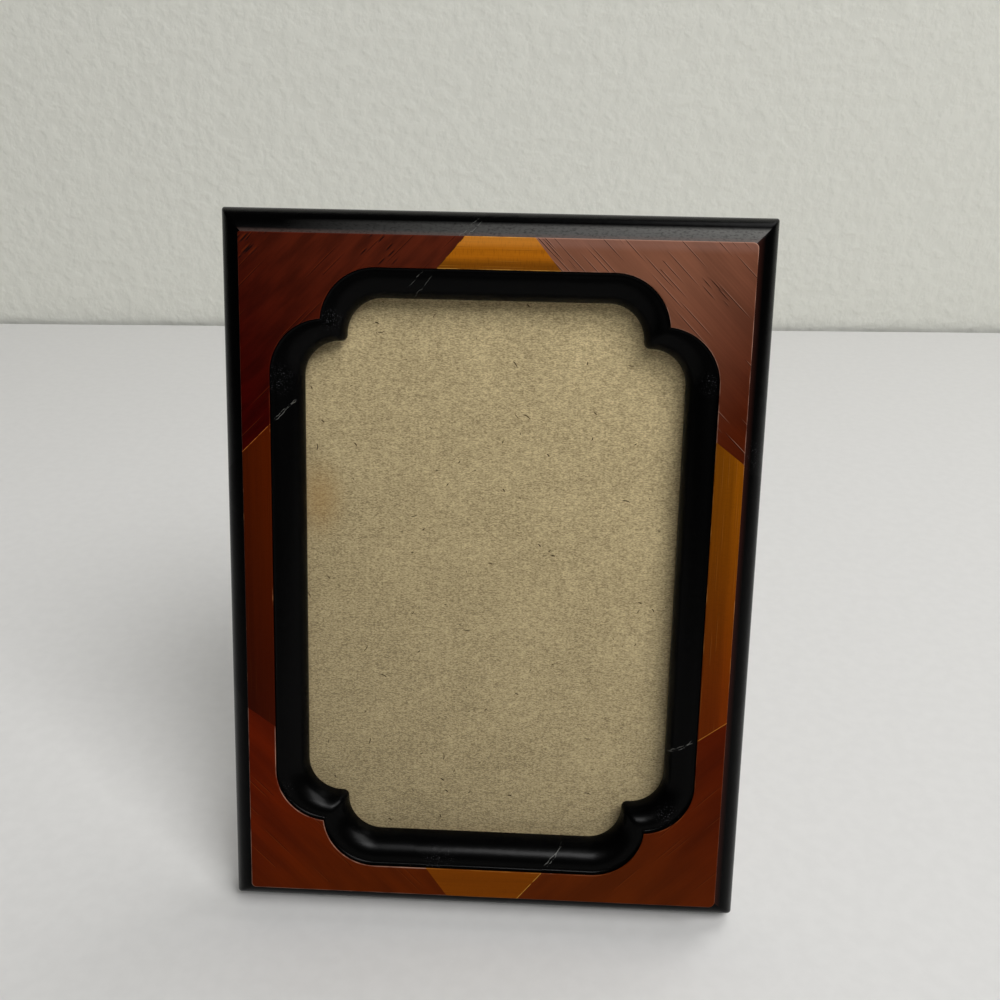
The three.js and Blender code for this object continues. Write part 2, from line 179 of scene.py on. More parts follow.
@dataclass(frozen=True)
class Marks:
    """Random marks of a real size.

    The size is about how long a mark is along each axis. A mark starts at the first of the two noise values
    to keep, and is full at the second. The detail is how many finer layers are added, and the shift moves
    the pattern, so that two of them differ.
    """

    size: Triple
    keep: Pair = (0.3, 0.7)
    detail: float = 2.0
    shift: float = 0.0

    def drawn(self, tree: Tree, place: Socket, further: float = 0.0) -> Socket:
        """Draws the marks.

        Args:
            tree: the material's tree.
            place: coordinates in millimetres.
            further: how much further the pattern is moved on this piece.

        Returns:
            A value from 0, where there is no mark, to 1 inside one.
        """
        moved = self.shift + further
        scale = tuple(1 / length for length in self.size)
        spaced = {"Vector": place, "Location": (moved, moved, moved), "Scale": scale}
        here = add_node(tree, "ShaderNodeMapping", spaced)
        noise = add_node(tree, "ShaderNodeTexNoise", {"Vector": here, "Scale": 1.0, "Detail": self.detail})
        start, full = self.keep
        limits = {"Value": noise, "From Min": start, "From Max": full}
        return add_node(tree, "ShaderNodeMapRange", limits, interpolation_type="SMOOTHSTEP")


@dataclass(frozen=True)
class Oval:
    """An oval place on a surface: its middle, its half sizes, and the share of it that is full."""

    at: Pair
    size: Pair
    full: float = 0.6

    def drawn(self, tree: Tree, place: Socket) -> Socket:
        """Draws the oval.

        Args:
            tree: the material's tree.
            place: coordinates in millimetres.

        Returns:
            A value from 1 in the middle to 0 outside.
        """
        scale = tuple(1 / half for half in self.size)
        offset = tuple(-middle / half for middle, half in zip(self.at, self.size))
        spaced = {"Vector": place, "Location": (*offset, 0.0), "Scale": (*scale, 0.0)}
        centred = add_node(tree, "ShaderNodeMapping", spaced)
        reach = add_node(tree, "ShaderNodeVectorMath", {"Vector": centred}, "Value", operation="LENGTH")
        limits = {"Value": reach, "From Min": self.full, "From Max": 1.0, "To Min": 1.0, "To Max": 0.0}
        return add_node(tree, "ShaderNodeMapRange", limits, interpolation_type="SMOOTHSTEP")


@dataclass(frozen=True)
class Finish(ABC):
    """What every finish has.

    Beside its name these are its roughness, how strongly it mirrors, how much rougher its marks are, and
    the height and strength of its relief, which may be sunk instead of raised.
    """

    name: str
    roughness: float = 0.5
    mirror: float = 0.5
    rougher: float = 0.1
    relief: float = 0.02
    relief_strength: float = 1.0
    sunk: bool = False

    @abstractmethod
    def material(self) -> Material:
        """Makes the finish's material."""

    def start_shader(self) -> tuple[Material, Tree, Node]:
        """Starts the material.

        Returns:
            The material, its tree and its main shader.
        """
        material = bpy.data.materials.new(self.name)
        material.use_nodes = True
        shader = material.node_tree.nodes["Principled BSDF"]
        shader.inputs["Roughness"].default_value = self.roughness
        shader.inputs["Specular IOR Level"].default_value = self.mirror
        return material, material.node_tree, shader

    def paint(
        self, tree: Tree, shader: Node, colour: Socket | str, layers: list[tuple[Socket, str]]
    ) -> None:
        """Lays tints over a colour and gives the result to the shader.

        Args:
            tree: the material's tree.
            shader: its main shader.
            colour: the lowest colour.
            layers: how much of each tint shows, and the tint, from the lowest up.
        """
        for share, tint in layers:
            stack = {"Factor": share, "A": colour, "B": tint}
            colour = add_node(tree, "ShaderNodeMix", stack, data_type="RGBA")
        tree.links.new(colour, shader.inputs["Base Color"])

    def texture(self, tree: Tree, shader: Node, marked: Socket, height: Socket) -> None:
        """Gives the surface its feel.

        Args:
            tree: the material's tree.
            shader: its main shader.
            marked: the pattern that makes it rougher, from 0 to 1.
            height: the pattern of its relief, from 0 to 1.
        """
        limits = {"Value": marked, "To Min": self.roughness, "To Max": self.roughness + self.rougher}
        tree.links.new(add_node(tree, "ShaderNodeMapRange", limits), shader.inputs["Roughness"])
        steps = {"Strength": self.relief_strength, "Distance": self.relief * MM, "Height": height}
        tree.links.new(add_node(tree, "ShaderNodeBump", steps, invert=self.sunk), shader.inputs["Normal"])


@dataclass(frozen=True)
class Pores:
    """Open pores of a wood: one line at most in each cell, all over or within an oval place.

    Each fades out between two shares of its length, at its ends, and of its width, at its sides. Its lip, a
    painted highlight, lies a share of its width beside it.
    """

    cell: Pair = (13.0, 1.5)
    length: float = 11.0
    width: float = 0.13
    share: float = 0.4
    depth: float = 0.85
    lip: float = 0.4
    within: Oval | None = None
    wander: float = 0.12
    wander_shift: float = 41.0
    end_fade: Pair = (0.2, 0.5)
    side_fade: Pair = (0.35, 0.8)
    lip_offset: float = 1.2

    def lines(self, tree: Tree, grain: Socket, shift: float) -> tuple[Socket, Socket]:
        """Draws the pores.

        Args:
            tree: the material's tree.
            grain: distance along, across and into the grain, in millimetres.
            shift: how far the pattern is moved, so that two of them differ.

        Returns:
            The dark of the pores and the painted highlight of their lips, from 0 to 1.
        """
        along, beside, lot = self.nearest(tree, grain, shift)
        start, stop = (share * self.length for share in self.end_fade)
        limits = {"Value": along, "From Min": start, "From Max": stop, "To Min": 1.0, "To Max": 0.0}
        seen = add_node(tree, "ShaderNodeMapRange", limits)
        drawn = add_node(tree, "ShaderNodeMath", {"Value": [lot, self.share]}, operation="LESS_THAN")
        inside = self.within.drawn(tree, grain) if self.within else 1.0
        for part in (drawn, inside):
            seen = add_node(tree, "ShaderNodeMath", {"Value": [seen, part]}, operation="MULTIPLY")
        start, stop = (share * self.width for share in self.side_fade)
        strips = []
        for offset, depth in ((0.0, self.depth), (self.lip_offset * self.width, self.lip)):
            away = add_node(tree, "ShaderNodeMath", {"Value": [beside, offset]}, operation="SUBTRACT")
            away = add_node(tree, "ShaderNodeMath", {"Value": [away]}, operation="ABSOLUTE")
            limits = {"Value": away, "From Min": start, "From Max": stop, "To Min": depth, "To Max": 0.0}
            strip = add_node(tree, "ShaderNodeMapRange", limits, interpolation_type="SMOOTHSTEP")
            strips.append(add_node(tree, "ShaderNodeMath", {"Value": [strip, seen]}, operation="MULTIPLY"))
        return strips[0], strips[1]

    def nearest(self, tree: Tree, grain: Socket, shift: float) -> tuple[Socket, Socket, Socket]:
        """Finds the nearest pore.

        Args:
            tree: the material's tree.
            grain: distance along, across and into the grain, in millimetres.
            shift: how far the pattern is moved.

        Returns:
            The distance along the grain to the pore's middle, the distance across, and its random number.
        """
        long, wide = self.cell
        sway = Marks((long, wide, wide), (0.0, 1.0), 1.0, self.wander_shift).drawn(tree, grain, shift)
        sway = add_node(tree, "ShaderNodeMath", {"Value": [sway, self.wander]}, operation="MULTIPLY")
        sideways = add_node(tree, "ShaderNodeCombineXYZ", {"Y": sway})
        bent = add_node(tree, "ShaderNodeVectorMath", {"Vector": [grain, sideways]}, operation="ADD")
        spaced = {"Vector": bent, "Location": (shift, shift, 0.0), "Scale": (1.0 / long, 1.0 / wide, 1.0)}
        here = add_node(tree, "ShaderNodeMapping", spaced)
        cells = {"Vector": here, "Scale": 1.0}
        middle = add_node(tree, "ShaderNodeTexVoronoi", cells, "Position", voronoi_dimensions="2D")
        lot = add_node(tree, "ShaderNodeSeparateXYZ", {"Vector": middle.node.outputs["Color"]}, "X")
        away = add_node(tree, "ShaderNodeVectorMath", {"Vector": [here, middle]}, operation="SUBTRACT")
        in_cells = {"Vector": [away, (long, wide, 1.0)]}
        away = add_node(tree, "ShaderNodeVectorMath", in_cells, operation="MULTIPLY")
        along = add_node(tree, "ShaderNodeSeparateXYZ", {"Vector": away}, "X")
        beside = along.node.outputs["Y"]
        along = add_node(tree, "ShaderNodeMath", {"Value": [along]}, operation="ABSOLUTE")
        return along, beside, lot


@dataclass(frozen=True)
class PolishedWood(Finish):
    """A hardwood face rubbed flat under clear satin lacquer: soft figure, fine fibres and thin open pores.

    Its arrises are worn pale in patches, and old glue shows at the joint of one end. Along its upper edge
    it can have a painted sheen and a painted highlight on the arris. Fibres and rays are too fine to show
    at their real size, so they are drawn a few times coarser.
    """

    relief: float = 0.03
    relief_strength: float = 0.5
    sunk: bool = True
    start: str = "#808080"
    end: str = "#808080"
    reach: Pair = (-40.0, 14.0)
    figure: Marks = Marks((26.0, 5.0, 5.0), detail=3.0)
    figure_depth: float = 0.25
    fibres: Marks = Marks((14.0, 0.35, 0.35), detail=3.0, shift=11.0)
    fibre_depth: float = 0.12
    rays: Marks = Marks((0.22, 1.6, 1.6), (0.5, 0.72), 1.0, 23.0)
    ray_depth: float = 0.0
    edge_strips: tuple[Pair, Pair] = ((0.12, 0.42), (0.6, 0.85))
    edge_tones: Pair = (1.0, 1.0)
    # Painted sheen: the band along the face's upper edge where the pale tint and the arris highlight are
    # painted
    upper_edge: Pair = (71.6, 73.3)
    upper_wear: float = 0.0
    # The painted sheen's tint, and how much of it shows
    bleach: str = "#c0a080"
    bleached: float = 0.0
    worn: str = "#8a5a48"
    worn_patches: Marks = Marks((5.0, 5.0, 5.0), (0.35, 0.65), 4.0, 71.0)
    pore: str = "#120301"
    lip: str = "#8a5a48"
    pores: tuple[Pores, ...] = (Pores(),)
    pores_apart: float = 7.0
    glue: str = "#100603"
    glue_line: Pair = (0.05, 0.16)
    glue_share: float = 0.9
    glue_breaks: Marks = Marks((1.2, 1.2, 1.2), (0.3, 0.5), 2.0, 53.0)
    open_end: int = 0
    shift: float = 0.0

    def material(self) -> Material:
        """Makes the material, which reads the segment's grain, place, wear, joint and across values."""
        material, tree, shader = self.start_shader()
        grain = add_node(tree, "ShaderNodeAttribute", output="Vector", attribute_name="grain")
        place = add_node(tree, "ShaderNodeAttribute", output="Vector", attribute_name="place")
        along = add_node(tree, "ShaderNodeSeparateXYZ", {"Vector": grain}, "X")
        height = add_node(tree, "ShaderNodeSeparateXYZ", {"Vector": place}, "Y")
        low, high = self.upper_edge
        limits = {"Value": height, "From Min": low, "From Max": high}
        upper = add_node(tree, "ShaderNodeMapRange", limits, interpolation_type="SMOOTHSTEP")
        # Painted sheen: a pale tint laid over the upper edge
        pale = add_node(tree, "ShaderNodeMath", {"Value": [upper, self.bleached]}, operation="MULTIPLY")
        layers = [(pale, self.bleach)]
        depth: Socket | float = 0.0
        for number, pores in enumerate(self.pores):
            core, lip = pores.lines(tree, grain, self.shift + self.pores_apart * number)
            layers += [(lip, self.lip), (core, self.pore)]
            depth = add_node(tree, "ShaderNodeMath", {"Value": [core, depth]}, operation="MAXIMUM")
        layers.append((self.wear(tree, place, upper), self.worn))
        layers.append((self.old_glue(tree, place, along), self.glue))
        self.paint(tree, shader, self.shaded(tree, grain, along), layers)
        self.texture(tree, shader, depth, depth)
        return material

    def shaded(self, tree: Tree, grain: Socket, along: Socket) -> Socket:
        """Colours the bare wood.

        Args:
            tree: the material's tree.
            grain: distance along, across and into the grain, in millimetres.
            along: the first of these.

        Returns:
            The colour, darkened by the figure, the fibres, the rays and the two long edges.
        """
        low, high = self.reach
        ends = {"Value": along, "From Min": low, "From Max": high}
        tone = add_node(tree, "ShaderNodeMapRange", ends, interpolation_type="SMOOTHSTEP")
        toned = {"Factor": tone, "A": self.start, "B": self.end}
        colour = add_node(tree, "ShaderNodeMix", toned, data_type="RGBA")
        patterns = (
            (self.figure, self.figure_depth),
            (self.fibres, self.fibre_depth),
            (self.rays, self.ray_depth),
        )
        shades = []
        for pattern, depth in patterns:
            drawn = pattern.drawn(tree, grain, self.shift)
            limits = {"Value": drawn, "To Min": 1.0 + depth / 2, "To Max": 1.0 - depth / 2}
            shades.append(add_node(tree, "ShaderNodeMapRange", limits))
        across = add_node(tree, "ShaderNodeAttribute", output="Fac", attribute_name="across")
        inner, outer = self.edge_tones
        for (start, stop), low, high in zip(self.edge_strips, (inner, 1.0), (1.0, outer)):
            limits = {"Value": across, "From Min": start, "From Max": stop, "To Min": low, "To Max": high}
            shades.append(add_node(tree, "ShaderNodeMapRange", limits, interpolation_type="SMOOTHSTEP"))
        for shade in shades:
            stack = {"Factor": 1.0, "A": colour, "B": shade}
            colour = add_node(tree, "ShaderNodeMix", stack, data_type="RGBA", blend_type="MULTIPLY")
        return colour

    def wear(self, tree: Tree, place: Socket, upper: Socket) -> Socket:
        """The pale line that wear leaves on the arrises, in patches, and a painted highlight along the
        upper arris.
        """
        arris = add_node(tree, "ShaderNodeAttribute", output="Fac", attribute_name="wear")
        # Painted highlight: the upper arris is painted pale, beside the worn patches
        above = add_node(tree, "ShaderNodeMath", {"Value": [upper, self.upper_wear]}, operation="MULTIPLY")
        patches = {"Value": [self.worn_patches.drawn(tree, place), above]}
        patches = add_node(tree, "ShaderNodeMath", patches, operation="MAXIMUM")
        return add_node(tree, "ShaderNodeMath", {"Value": [arris, patches]}, operation="MULTIPLY")

    def old_glue(self, tree: Tree, place: Socket, along: Socket) -> Socket:
        """The broken line of glue at the joint of the open end."""
        joint = add_node(tree, "ShaderNodeAttribute", output="Fac", attribute_name="joint")
        near, far = self.glue_line
        shares = {"To Min": self.glue_share, "To Max": 0.0}
        limits = {"Value": joint, "From Min": near, "From Max": far, **shares}
        line = add_node(tree, "ShaderNodeMapRange", limits, interpolation_type="SMOOTHSTEP")
        toward = {"Value": [along, float(self.open_end)]}
        toward = add_node(tree, "ShaderNodeMath", toward, operation="MULTIPLY")
        end = add_node(tree, "ShaderNodeMath", {"Value": [toward, 0.0]}, operation="GREATER_THAN")
        for part in (self.glue_breaks.drawn(tree, place), end):
            line = add_node(tree, "ShaderNodeMath", {"Value": [line, part]}, operation="MULTIPLY")
        return line


@dataclass(frozen=True)
class BlackLacquer(Finish):
    """Black lacquer brushed over the routed edges: deep black, satin and slightly wavy.

    Dust and a painted sheen, stronger towards the right, lie on its top ledge. It is thin and brown to the
    right of the wood, and cracked at some joints.
    """

    relief: float = 0.03
    relief_strength: float = 0.5
    colour: str = "#020202"
    waves: Marks = Marks((2.2, 2.2, 2.2), (0.2, 0.8), 2.0, 17.0)
    speck: str = "#525154"
    specks: Marks = Marks((0.2, 0.2, 0.2), (0.7, 0.82), 0.0, 5.0)
    dusty: tuple[Oval, ...] = (
        Oval((-34.5, 56.5), (3.5, 3.5), 0.0),
        Oval((-46.0, 44.0), (4.5, 4.5), 0.0),
        Oval((-46.2, -51.0), (4.0, 4.0), 0.0),
        Oval((-10.0, -66.6), (5.0, 5.0), 0.0),
        Oval((42.0, -53.0), (4.0, 4.0), 0.0),
        Oval((46.0, 45.0), (3.5, 3.5), 0.0),
        Oval((57.0, 30.0), (5.0, 5.0), 0.0),
    )
    grit: Marks = Marks((0.7, 0.35, 0.35), (0.0, 0.6), 3.0, 83.0)
    # Dust and painted sheen on the top ledge: a pale grey that grows towards the right
    film: str = "#73726f"
    film_edge: Pair = (76.5, 77.5)
    film_ends: Pair = (-45.0, 50.0)
    film_share: float = 0.8
    rim: str = "#6a5650"
    rim_edge: Pair = (74.6, 75.4)
    rim_share: float = 0.4
    thin: str = "#2a140f"
    thin_edge: Pair = (53.8, 55.6)
    thin_share: float = 1.0
    face: Pair = (53.6, 74.3)
    overlap: float = 0.3
    crack: str = "#757571"
    crack_line: Pair = (0.03, 0.09)
    crack_breaks: Marks = Marks((0.9, 0.9, 0.9), (0.4, 0.58), 3.0, 61.0)
    crack_sway: Marks = Marks((2.0, 2.0, 2.0), detail=2.0, shift=97.0)
    crack_wander: float = 0.35
    cracked: tuple[tuple[Oval, float], ...] = (
        (Oval((-5.6, 75.6), (3.4, 3.4)), 0.6),
        (Oval((-15.3, 64.0), (3.4, 3.4)), 0.35),
        (Oval((-44.5, 37.3), (3.4, 3.4)), 0.6),
        (Oval((44.0, -36.4), (3.4, 3.4)), 0.7),
        (Oval((16.7, -64.5), (3.4, 3.4)), 0.6),
    )

    def material(self) -> Material:
        """Makes the lacquer's material, which reads the segment's place and joint values."""
        material, tree, shader = self.start_shader()
        place = add_node(tree, "ShaderNodeAttribute", output="Vector", attribute_name="place")
        film, rim, thin = self.beside_wood(tree, place)
        layers = [
            (self.dust(tree, place), self.speck),
            (thin, self.thin),
            (film, self.film),
            (rim, self.rim),
            (self.cracks(tree, place), self.crack),
        ]
        self.paint(tree, shader, self.colour, layers)
        self.texture(tree, shader, film, self.waves.drawn(tree, place))
        return material

    def dust(self, tree: Tree, place: Socket) -> Socket:
        """Specks of dust that have settled in a few places."""
        settled: Socket | float = 0.0
        for oval in self.dusty:
            both = {"Value": [oval.drawn(tree, place), settled]}
            settled = add_node(tree, "ShaderNodeMath", both, operation="MAXIMUM")
        specks = self.specks.drawn(tree, place)
        return add_node(tree, "ShaderNodeMath", {"Value": [specks, settled]}, operation="MULTIPLY")

    def beside_wood(self, tree: Tree, place: Socket) -> list[Socket]:
        """Draws what lies along the polished face, up to the mitres.

        Args:
            tree: the material's tree.
            place: coordinates in millimetres.

        Returns:
            The film of dust and painted sheen above the wood, the worn rim at its foot, and the thin
            lacquer to its right.
        """
        x = add_node(tree, "ShaderNodeSeparateXYZ", {"Vector": place}, "X")
        y = x.node.outputs["Y"]
        right, top = self.face
        sideways = add_node(tree, "ShaderNodeMath", {"Value": [x]}, operation="ABSOLUTE")
        fall = add_node(tree, "ShaderNodeMath", {"Value": [y, sideways]}, operation="SUBTRACT")
        rise = add_node(tree, "ShaderNodeMath", {"Value": [y, sideways]}, operation="ADD")
        tests = (
            (fall, "GREATER_THAN", top - right),
            (y, "GREATER_THAN", top - self.overlap),
            (fall, "LESS_THAN", top - right),
            (rise, "GREATER_THAN", right - top),
            (x, "GREATER_THAN", right - self.overlap),
        )
        above, over_edge, below, beside, past_edge = (
            add_node(tree, "ShaderNodeMath", {"Value": [value, limit]}, operation=test)
            for value, test, limit in tests
        )
        # The top ledge's dust and painted sheen grow stronger from clean towards dusty, to the right
        clean, dusty = self.film_ends
        more = add_node(tree, "ShaderNodeMapRange", {"Value": x, "From Min": clean, "From Max": dusty})
        grit = self.grit.drawn(tree, place)
        strips = (
            (y, self.film_edge, self.film_share, (above, over_edge, more, grit)),
            (y, self.rim_edge, self.rim_share, (above, over_edge, grit)),
            (x, self.thin_edge, self.thin_share, (past_edge, below, beside)),
        )
        shares = []
        for outward, (near, far), full, parts in strips:
            limits = {"Value": outward, "From Min": far, "From Max": near, "To Max": full}
            share = add_node(tree, "ShaderNodeMapRange", limits, interpolation_type="SMOOTHSTEP")
            for part in parts:
                share = add_node(tree, "ShaderNodeMath", {"Value": [share, part]}, operation="MULTIPLY")
            shares.append(share)
        return shares

    def cracks(self, tree: Tree, place: Socket) -> Socket:
        """Pale broken lines along the joints, where the lacquer has cracked."""
        joint = add_node(tree, "ShaderNodeAttribute", output="Fac", attribute_name="joint")
        sway = {"Value": [self.crack_sway.drawn(tree, place), self.crack_wander]}
        astray = add_node(tree, "ShaderNodeMath", sway, operation="MULTIPLY")
        away = add_node(tree, "ShaderNodeMath", {"Value": [joint, astray]}, operation="SUBTRACT")
        away = add_node(tree, "ShaderNodeMath", {"Value": [away]}, operation="ABSOLUTE")
        near, far = self.crack_line
        limits = {"Value": away, "From Min": near, "From Max": far, "To Min": 1.0, "To Max": 0.0}
        line = add_node(tree, "ShaderNodeMapRange", limits)
        where: Socket | float = 0.0
        for oval, share in self.cracked:
            faint = {"Value": [oval.drawn(tree, place), share]}
            faint = add_node(tree, "ShaderNodeMath", faint, operation="MULTIPLY")
            where = add_node(tree, "ShaderNodeMath", {"Value": [faint, where]}, operation="MAXIMUM")
        for part in (self.crack_breaks.drawn(tree, place), where):
            line = add_node(tree, "ShaderNodeMath", {"Value": [line, part]}, operation="MULTIPLY")
        return line


@dataclass(frozen=True)
class PlainStock(Finish):
    """A plain stock with a fine mottle, such as sawn wood, faced board, plating or paint."""

    light: str = "#808080"
    dark: str = "#606060"
    mottle: Triple = (4.0, 4.0, 4.0)
    mottle_detail: float = 4.0
    metallic: float = 0.0
    laid_along: str = "place"

    def material(self) -> Material:
        """Makes the material."""
        material, tree, shader = self.start_shader()
        shader.inputs["Metallic"].default_value = self.metallic
        place = add_node(tree, "ShaderNodeAttribute", output="Vector", attribute_name=self.laid_along)
        mottle = Marks(self.mottle, detail=self.mottle_detail).drawn(tree, place)
        self.paint(tree, shader, self.dark, [(mottle, self.light)])
        self.texture(tree, shader, mottle, mottle)
        return material


@dataclass(frozen=True)
class Chipboard(Finish):
    """Grey-brown chipboard card: pulp in short level streaks, faint upright ribs and an old brown stain.

    It has painted light and shade: lighter towards the upper right and darker towards the lower left. The
    pulp's fibres are too fine to show at their real size, so the streaks are drawn a few times coarser.
    """

    relief: float = 0.05
    relief_strength: float = 0.6
    light: str = "#c8b48c"
    dark: str = "#726348"
    streaks: Marks = Marks((0.48, 0.18, 0.18), detail=3.0)
    tufts: Marks = Marks((2.4, 1.0, 1.0), detail=3.0, shift=33.0)
    tuft_share: float = 0.17
    ribs: Marks = Marks((0.4, 9.0, 9.0), (0.2, 0.8), 1.0, 9.0)
    rib_share: float = 0.12
    clouds: Marks = Marks((14.0, 10.0, 10.0), (0.25, 0.75), 2.0, 21.0)
    cloud_share: float = 0.1
    stain: str = "#946f3c"
    stained: Oval = Oval((-38.5, 17.0), (7.5, 12.0), 0.0)
    stain_share: float = 0.5
    # Painted light and shade: the card is lighter along this direction and darker against it, over this
    # reach
    faded_toward: Triple = (0.64, 0.768, 0.0)
    faded_reach: float = 60.0
    faded_tones: Pair = (0.79, 1.29)

    def material(self) -> Material:
        """Makes the card's material."""
        material, tree, shader = self.start_shader()
        place = add_node(tree, "ShaderNodeAttribute", output="Vector", attribute_name="place")
        pulp = self.streaks.drawn(tree, place)
        coarser = (
            (self.tuft_share, self.tufts),
            (self.rib_share, self.ribs),
            (self.cloud_share, self.clouds),
        )
        for share, marks in coarser:
            both = {"Factor": share, "A": pulp, "B": marks.drawn(tree, place)}
            pulp = add_node(tree, "ShaderNodeMix", both)
        toned = {"Factor": pulp, "A": self.dark, "B": self.light}
        colour = add_node(tree, "ShaderNodeMix", toned, data_type="RGBA")
        # Painted light and shade across the card, lighter towards the upper right
        toward = {"Vector": [place, self.faded_toward]}
        along = add_node(tree, "ShaderNodeVectorMath", toward, "Value", operation="DOT_PRODUCT")
        low, high = self.faded_tones
        painted_light_range = {"Value": along, "From Min": -self.faded_reach, "From Max": self.faded_reach}
        shade = add_node(tree, "ShaderNodeMapRange", {**painted_light_range, "To Min": low, "To Max": high})
        stack = {"Factor": 1.0, "A": colour, "B": shade}
        colour = add_node(tree, "ShaderNodeMix", stack, data_type="RGBA", blend_type="MULTIPLY")
        soaked = {"Value": [self.stained.drawn(tree, place), self.stain_share]}
        soaked = add_node(tree, "ShaderNodeMath", soaked, operation="MULTIPLY")
        self.paint(tree, shader, colour, [(soaked, self.stain)])
        self.texture(tree, shader, pulp, pulp)
        return material


@dataclass(frozen=True)
class PictureGlass(Finish):
    """Clear float glass, coated against glare, which hardly shows; lamps shine through it."""

    roughness: float = 0.0
    tint: str = "#fdfefd"
    glare: str = "#3a3a3a"
    refraction: float = 1.5

    def material(self) -> Material:
        """Makes the glass, which lamps and scattered light go straight through."""
        material, tree, shader = self.start_shader()
        shader.inputs["Base Color"].default_value = linear(self.tint)
        shader.inputs["Transmission Weight"].default_value = 1.0
        shader.inputs["IOR"].default_value = self.refraction
        shader.inputs["Specular Tint"].default_value = linear(self.glare)
        shadow = add_node(tree, "ShaderNodeLightPath", output="Is Shadow Ray")
        scattered = shadow.node.outputs["Is Diffuse Ray"]
        straight = add_node(tree, "ShaderNodeMath", {"Value": [shadow, scattered]}, operation="MAXIMUM")
        clear = add_node(tree, "ShaderNodeBsdfTransparent", {"Color": self.tint})
        both = {"Fac": straight, "Shader": [shader.outputs["BSDF"], clear]}
        surface = add_node(tree, "ShaderNodeMixShader", both)
        tree.links.new(surface, tree.nodes["Material Output"].inputs["Surface"])
        return material


@dataclass(frozen=True)
class FramePlane:
    """The plane of the polished face, in millimetres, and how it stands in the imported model."""

    lean: float = 15.0
    glass_middle: float = -7.8

    def matrix(self) -> Matrix:
        """Works out the matrix from the plane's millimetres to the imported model's metres."""
        turn = Matrix.Rotation(math.radians(90.0 - self.lean), 4, "X")
        low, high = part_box("glass_pane")
        middle = (Vector(low) + Vector(high)) / 2
        face = middle - turn @ Vector((0.0, 0.0, self.glass_middle * MM))
        return Matrix.Translation(face) @ turn @ Matrix.Scale(MM, 4)


STANDING = FramePlane().matrix()


def placed(points: np.ndarray) -> np.ndarray:
    """Turns points of the frame's plane, in millimetres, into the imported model's metres."""
    stand = np.array(STANDING)
    return points @ stand[:3, :3].T + stand[:3, 3]


def store(mesh: Mesh, name: str, values: np.ndarray) -> None:
    """Keeps a number or a vector for each vertex of a mesh, for its material."""
    kind, key = ("FLOAT_VECTOR", "vector") if values.ndim > 1 else ("FLOAT", "value")
    attribute = mesh.attributes.new(name, kind, "POINT")
    attribute.data.foreach_set(key, np.ascontiguousarray(values, dtype=np.float32).ravel())


def finished(
    name: str, mesh: Mesh, body: str, materials: list[Material], edges_marked: bool = False
) -> bpy.types.Object:
    """Makes a piece of a mesh that is in place: faces out, edges shaded, on its body.

    Args:
        name: the piece's name.
        mesh: its mesh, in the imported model's metres.
        body: the body that it moves with.
        materials: its materials, in slot order.
        edges_marked: whether the mesh already says which of its edges are sharp.

    Returns:
        The piece.
    """
    shell = bmesh.new()
    shell.from_mesh(mesh)
    inside_out = shell.calc_volume(signed=True) < 0
    shell.free()
    if inside_out:
        mesh.flip_normals()
    mesh.shade_smooth()
    if not edges_marked:
        mesh.set_sharp_from_angle(angle=SHARP_ANGLE)
    points = np.empty(len(mesh.vertices) * 3, dtype=np.float32)
    mesh.vertices.foreach_get("co", points)
    level = np.array(STANDING.inverted())
    store(mesh, "place", points.reshape(-1, 3) @ level[:3, :3].T + level[:3, 3])
    if not mesh.materials:
        for material in materials:
            mesh.materials.append(material)
    piece = bpy.data.objects.new(name, mesh)
    bpy.context.collection.objects.link(piece)
    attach(piece, body)
    log.info("%s: %d faces", name, len(mesh.polygons))
    return piece


def skinned(count: int, around: int, closed: bool = False) -> list[tuple[int, ...]]:
    """The faces over a row of closed sections.

    Args:
        count: how many sections there are.
        around: how many points go round each.
        closed: whether the last section joins the first. If not, both ends are capped.

    Returns:
        The faces, as numbers of the sections' points in order.
    """
    faces = []
    for section in range(count if closed else count - 1):
        start, after = section * around, (section + 1) % count * around
        for point in range(around):
            beside = (point + 1) % around
            faces.append((start + point, start + beside, after + beside, after + point))
    if not closed:
        faces.append(tuple(reversed(range(around))))
        faces.append(tuple(range((count - 1) * around, count * around)))
    return faces


def lofted(name: str, sections: np.ndarray, closed: bool = False) -> Mesh:
    """Skins a row of closed sections.

    Args:
        name: the mesh's name.
        sections: the points, as section, point round it, and x, y, z in the frame's plane.
        closed: whether the last section joins the first. If not, both ends are capped.

    Returns:
        The mesh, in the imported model's metres.
    """
    count, around, _ = sections.shape
    mesh = bpy.data.meshes.new(name)
    mesh.from_pydata(placed(sections.reshape(-1, 3)), [], skinned(count, around, closed))
    return mesh


def eased_copy(name: str, node: str, ease: float, steps: int = 3) -> Mesh:
    """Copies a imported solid's mesh and eases its edges.

    Args:
        name: the new mesh's name.
        node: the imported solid.
        ease: how far the edges are cut back, in millimetres.
        steps: how many faces round an edge.

    Returns:
        The mesh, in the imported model's metres, with its sharp edges marked.
    """
    shell = bmesh.new()
    shell.from_mesh(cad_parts[node].data)
    bmesh.ops.remove_doubles(shell, verts=shell.verts, dist=MERGE_DISTANCE)
    bmesh.ops.dissolve_limit(shell, angle_limit=FLAT_ANGLE, verts=shell.verts, edges=shell.edges)
    edges = [edge for edge in shell.edges if edge.is_manifold and edge.calc_face_angle() > SHARP_ANGLE]
    cut = bmesh.ops.bevel(
        shell, geom=edges, offset=ease * MM, segments=steps, profile=ARC_PROFILE, affect="EDGES"
    )
    eased = set(cut["faces"])
    for edge in shell.edges:
        edge.smooth = len({face in eased for face in edge.link_faces}) == 1
    mesh = bpy.data.meshes.new(name)
    shell.to_mesh(mesh)
    shell.free()
    return mesh


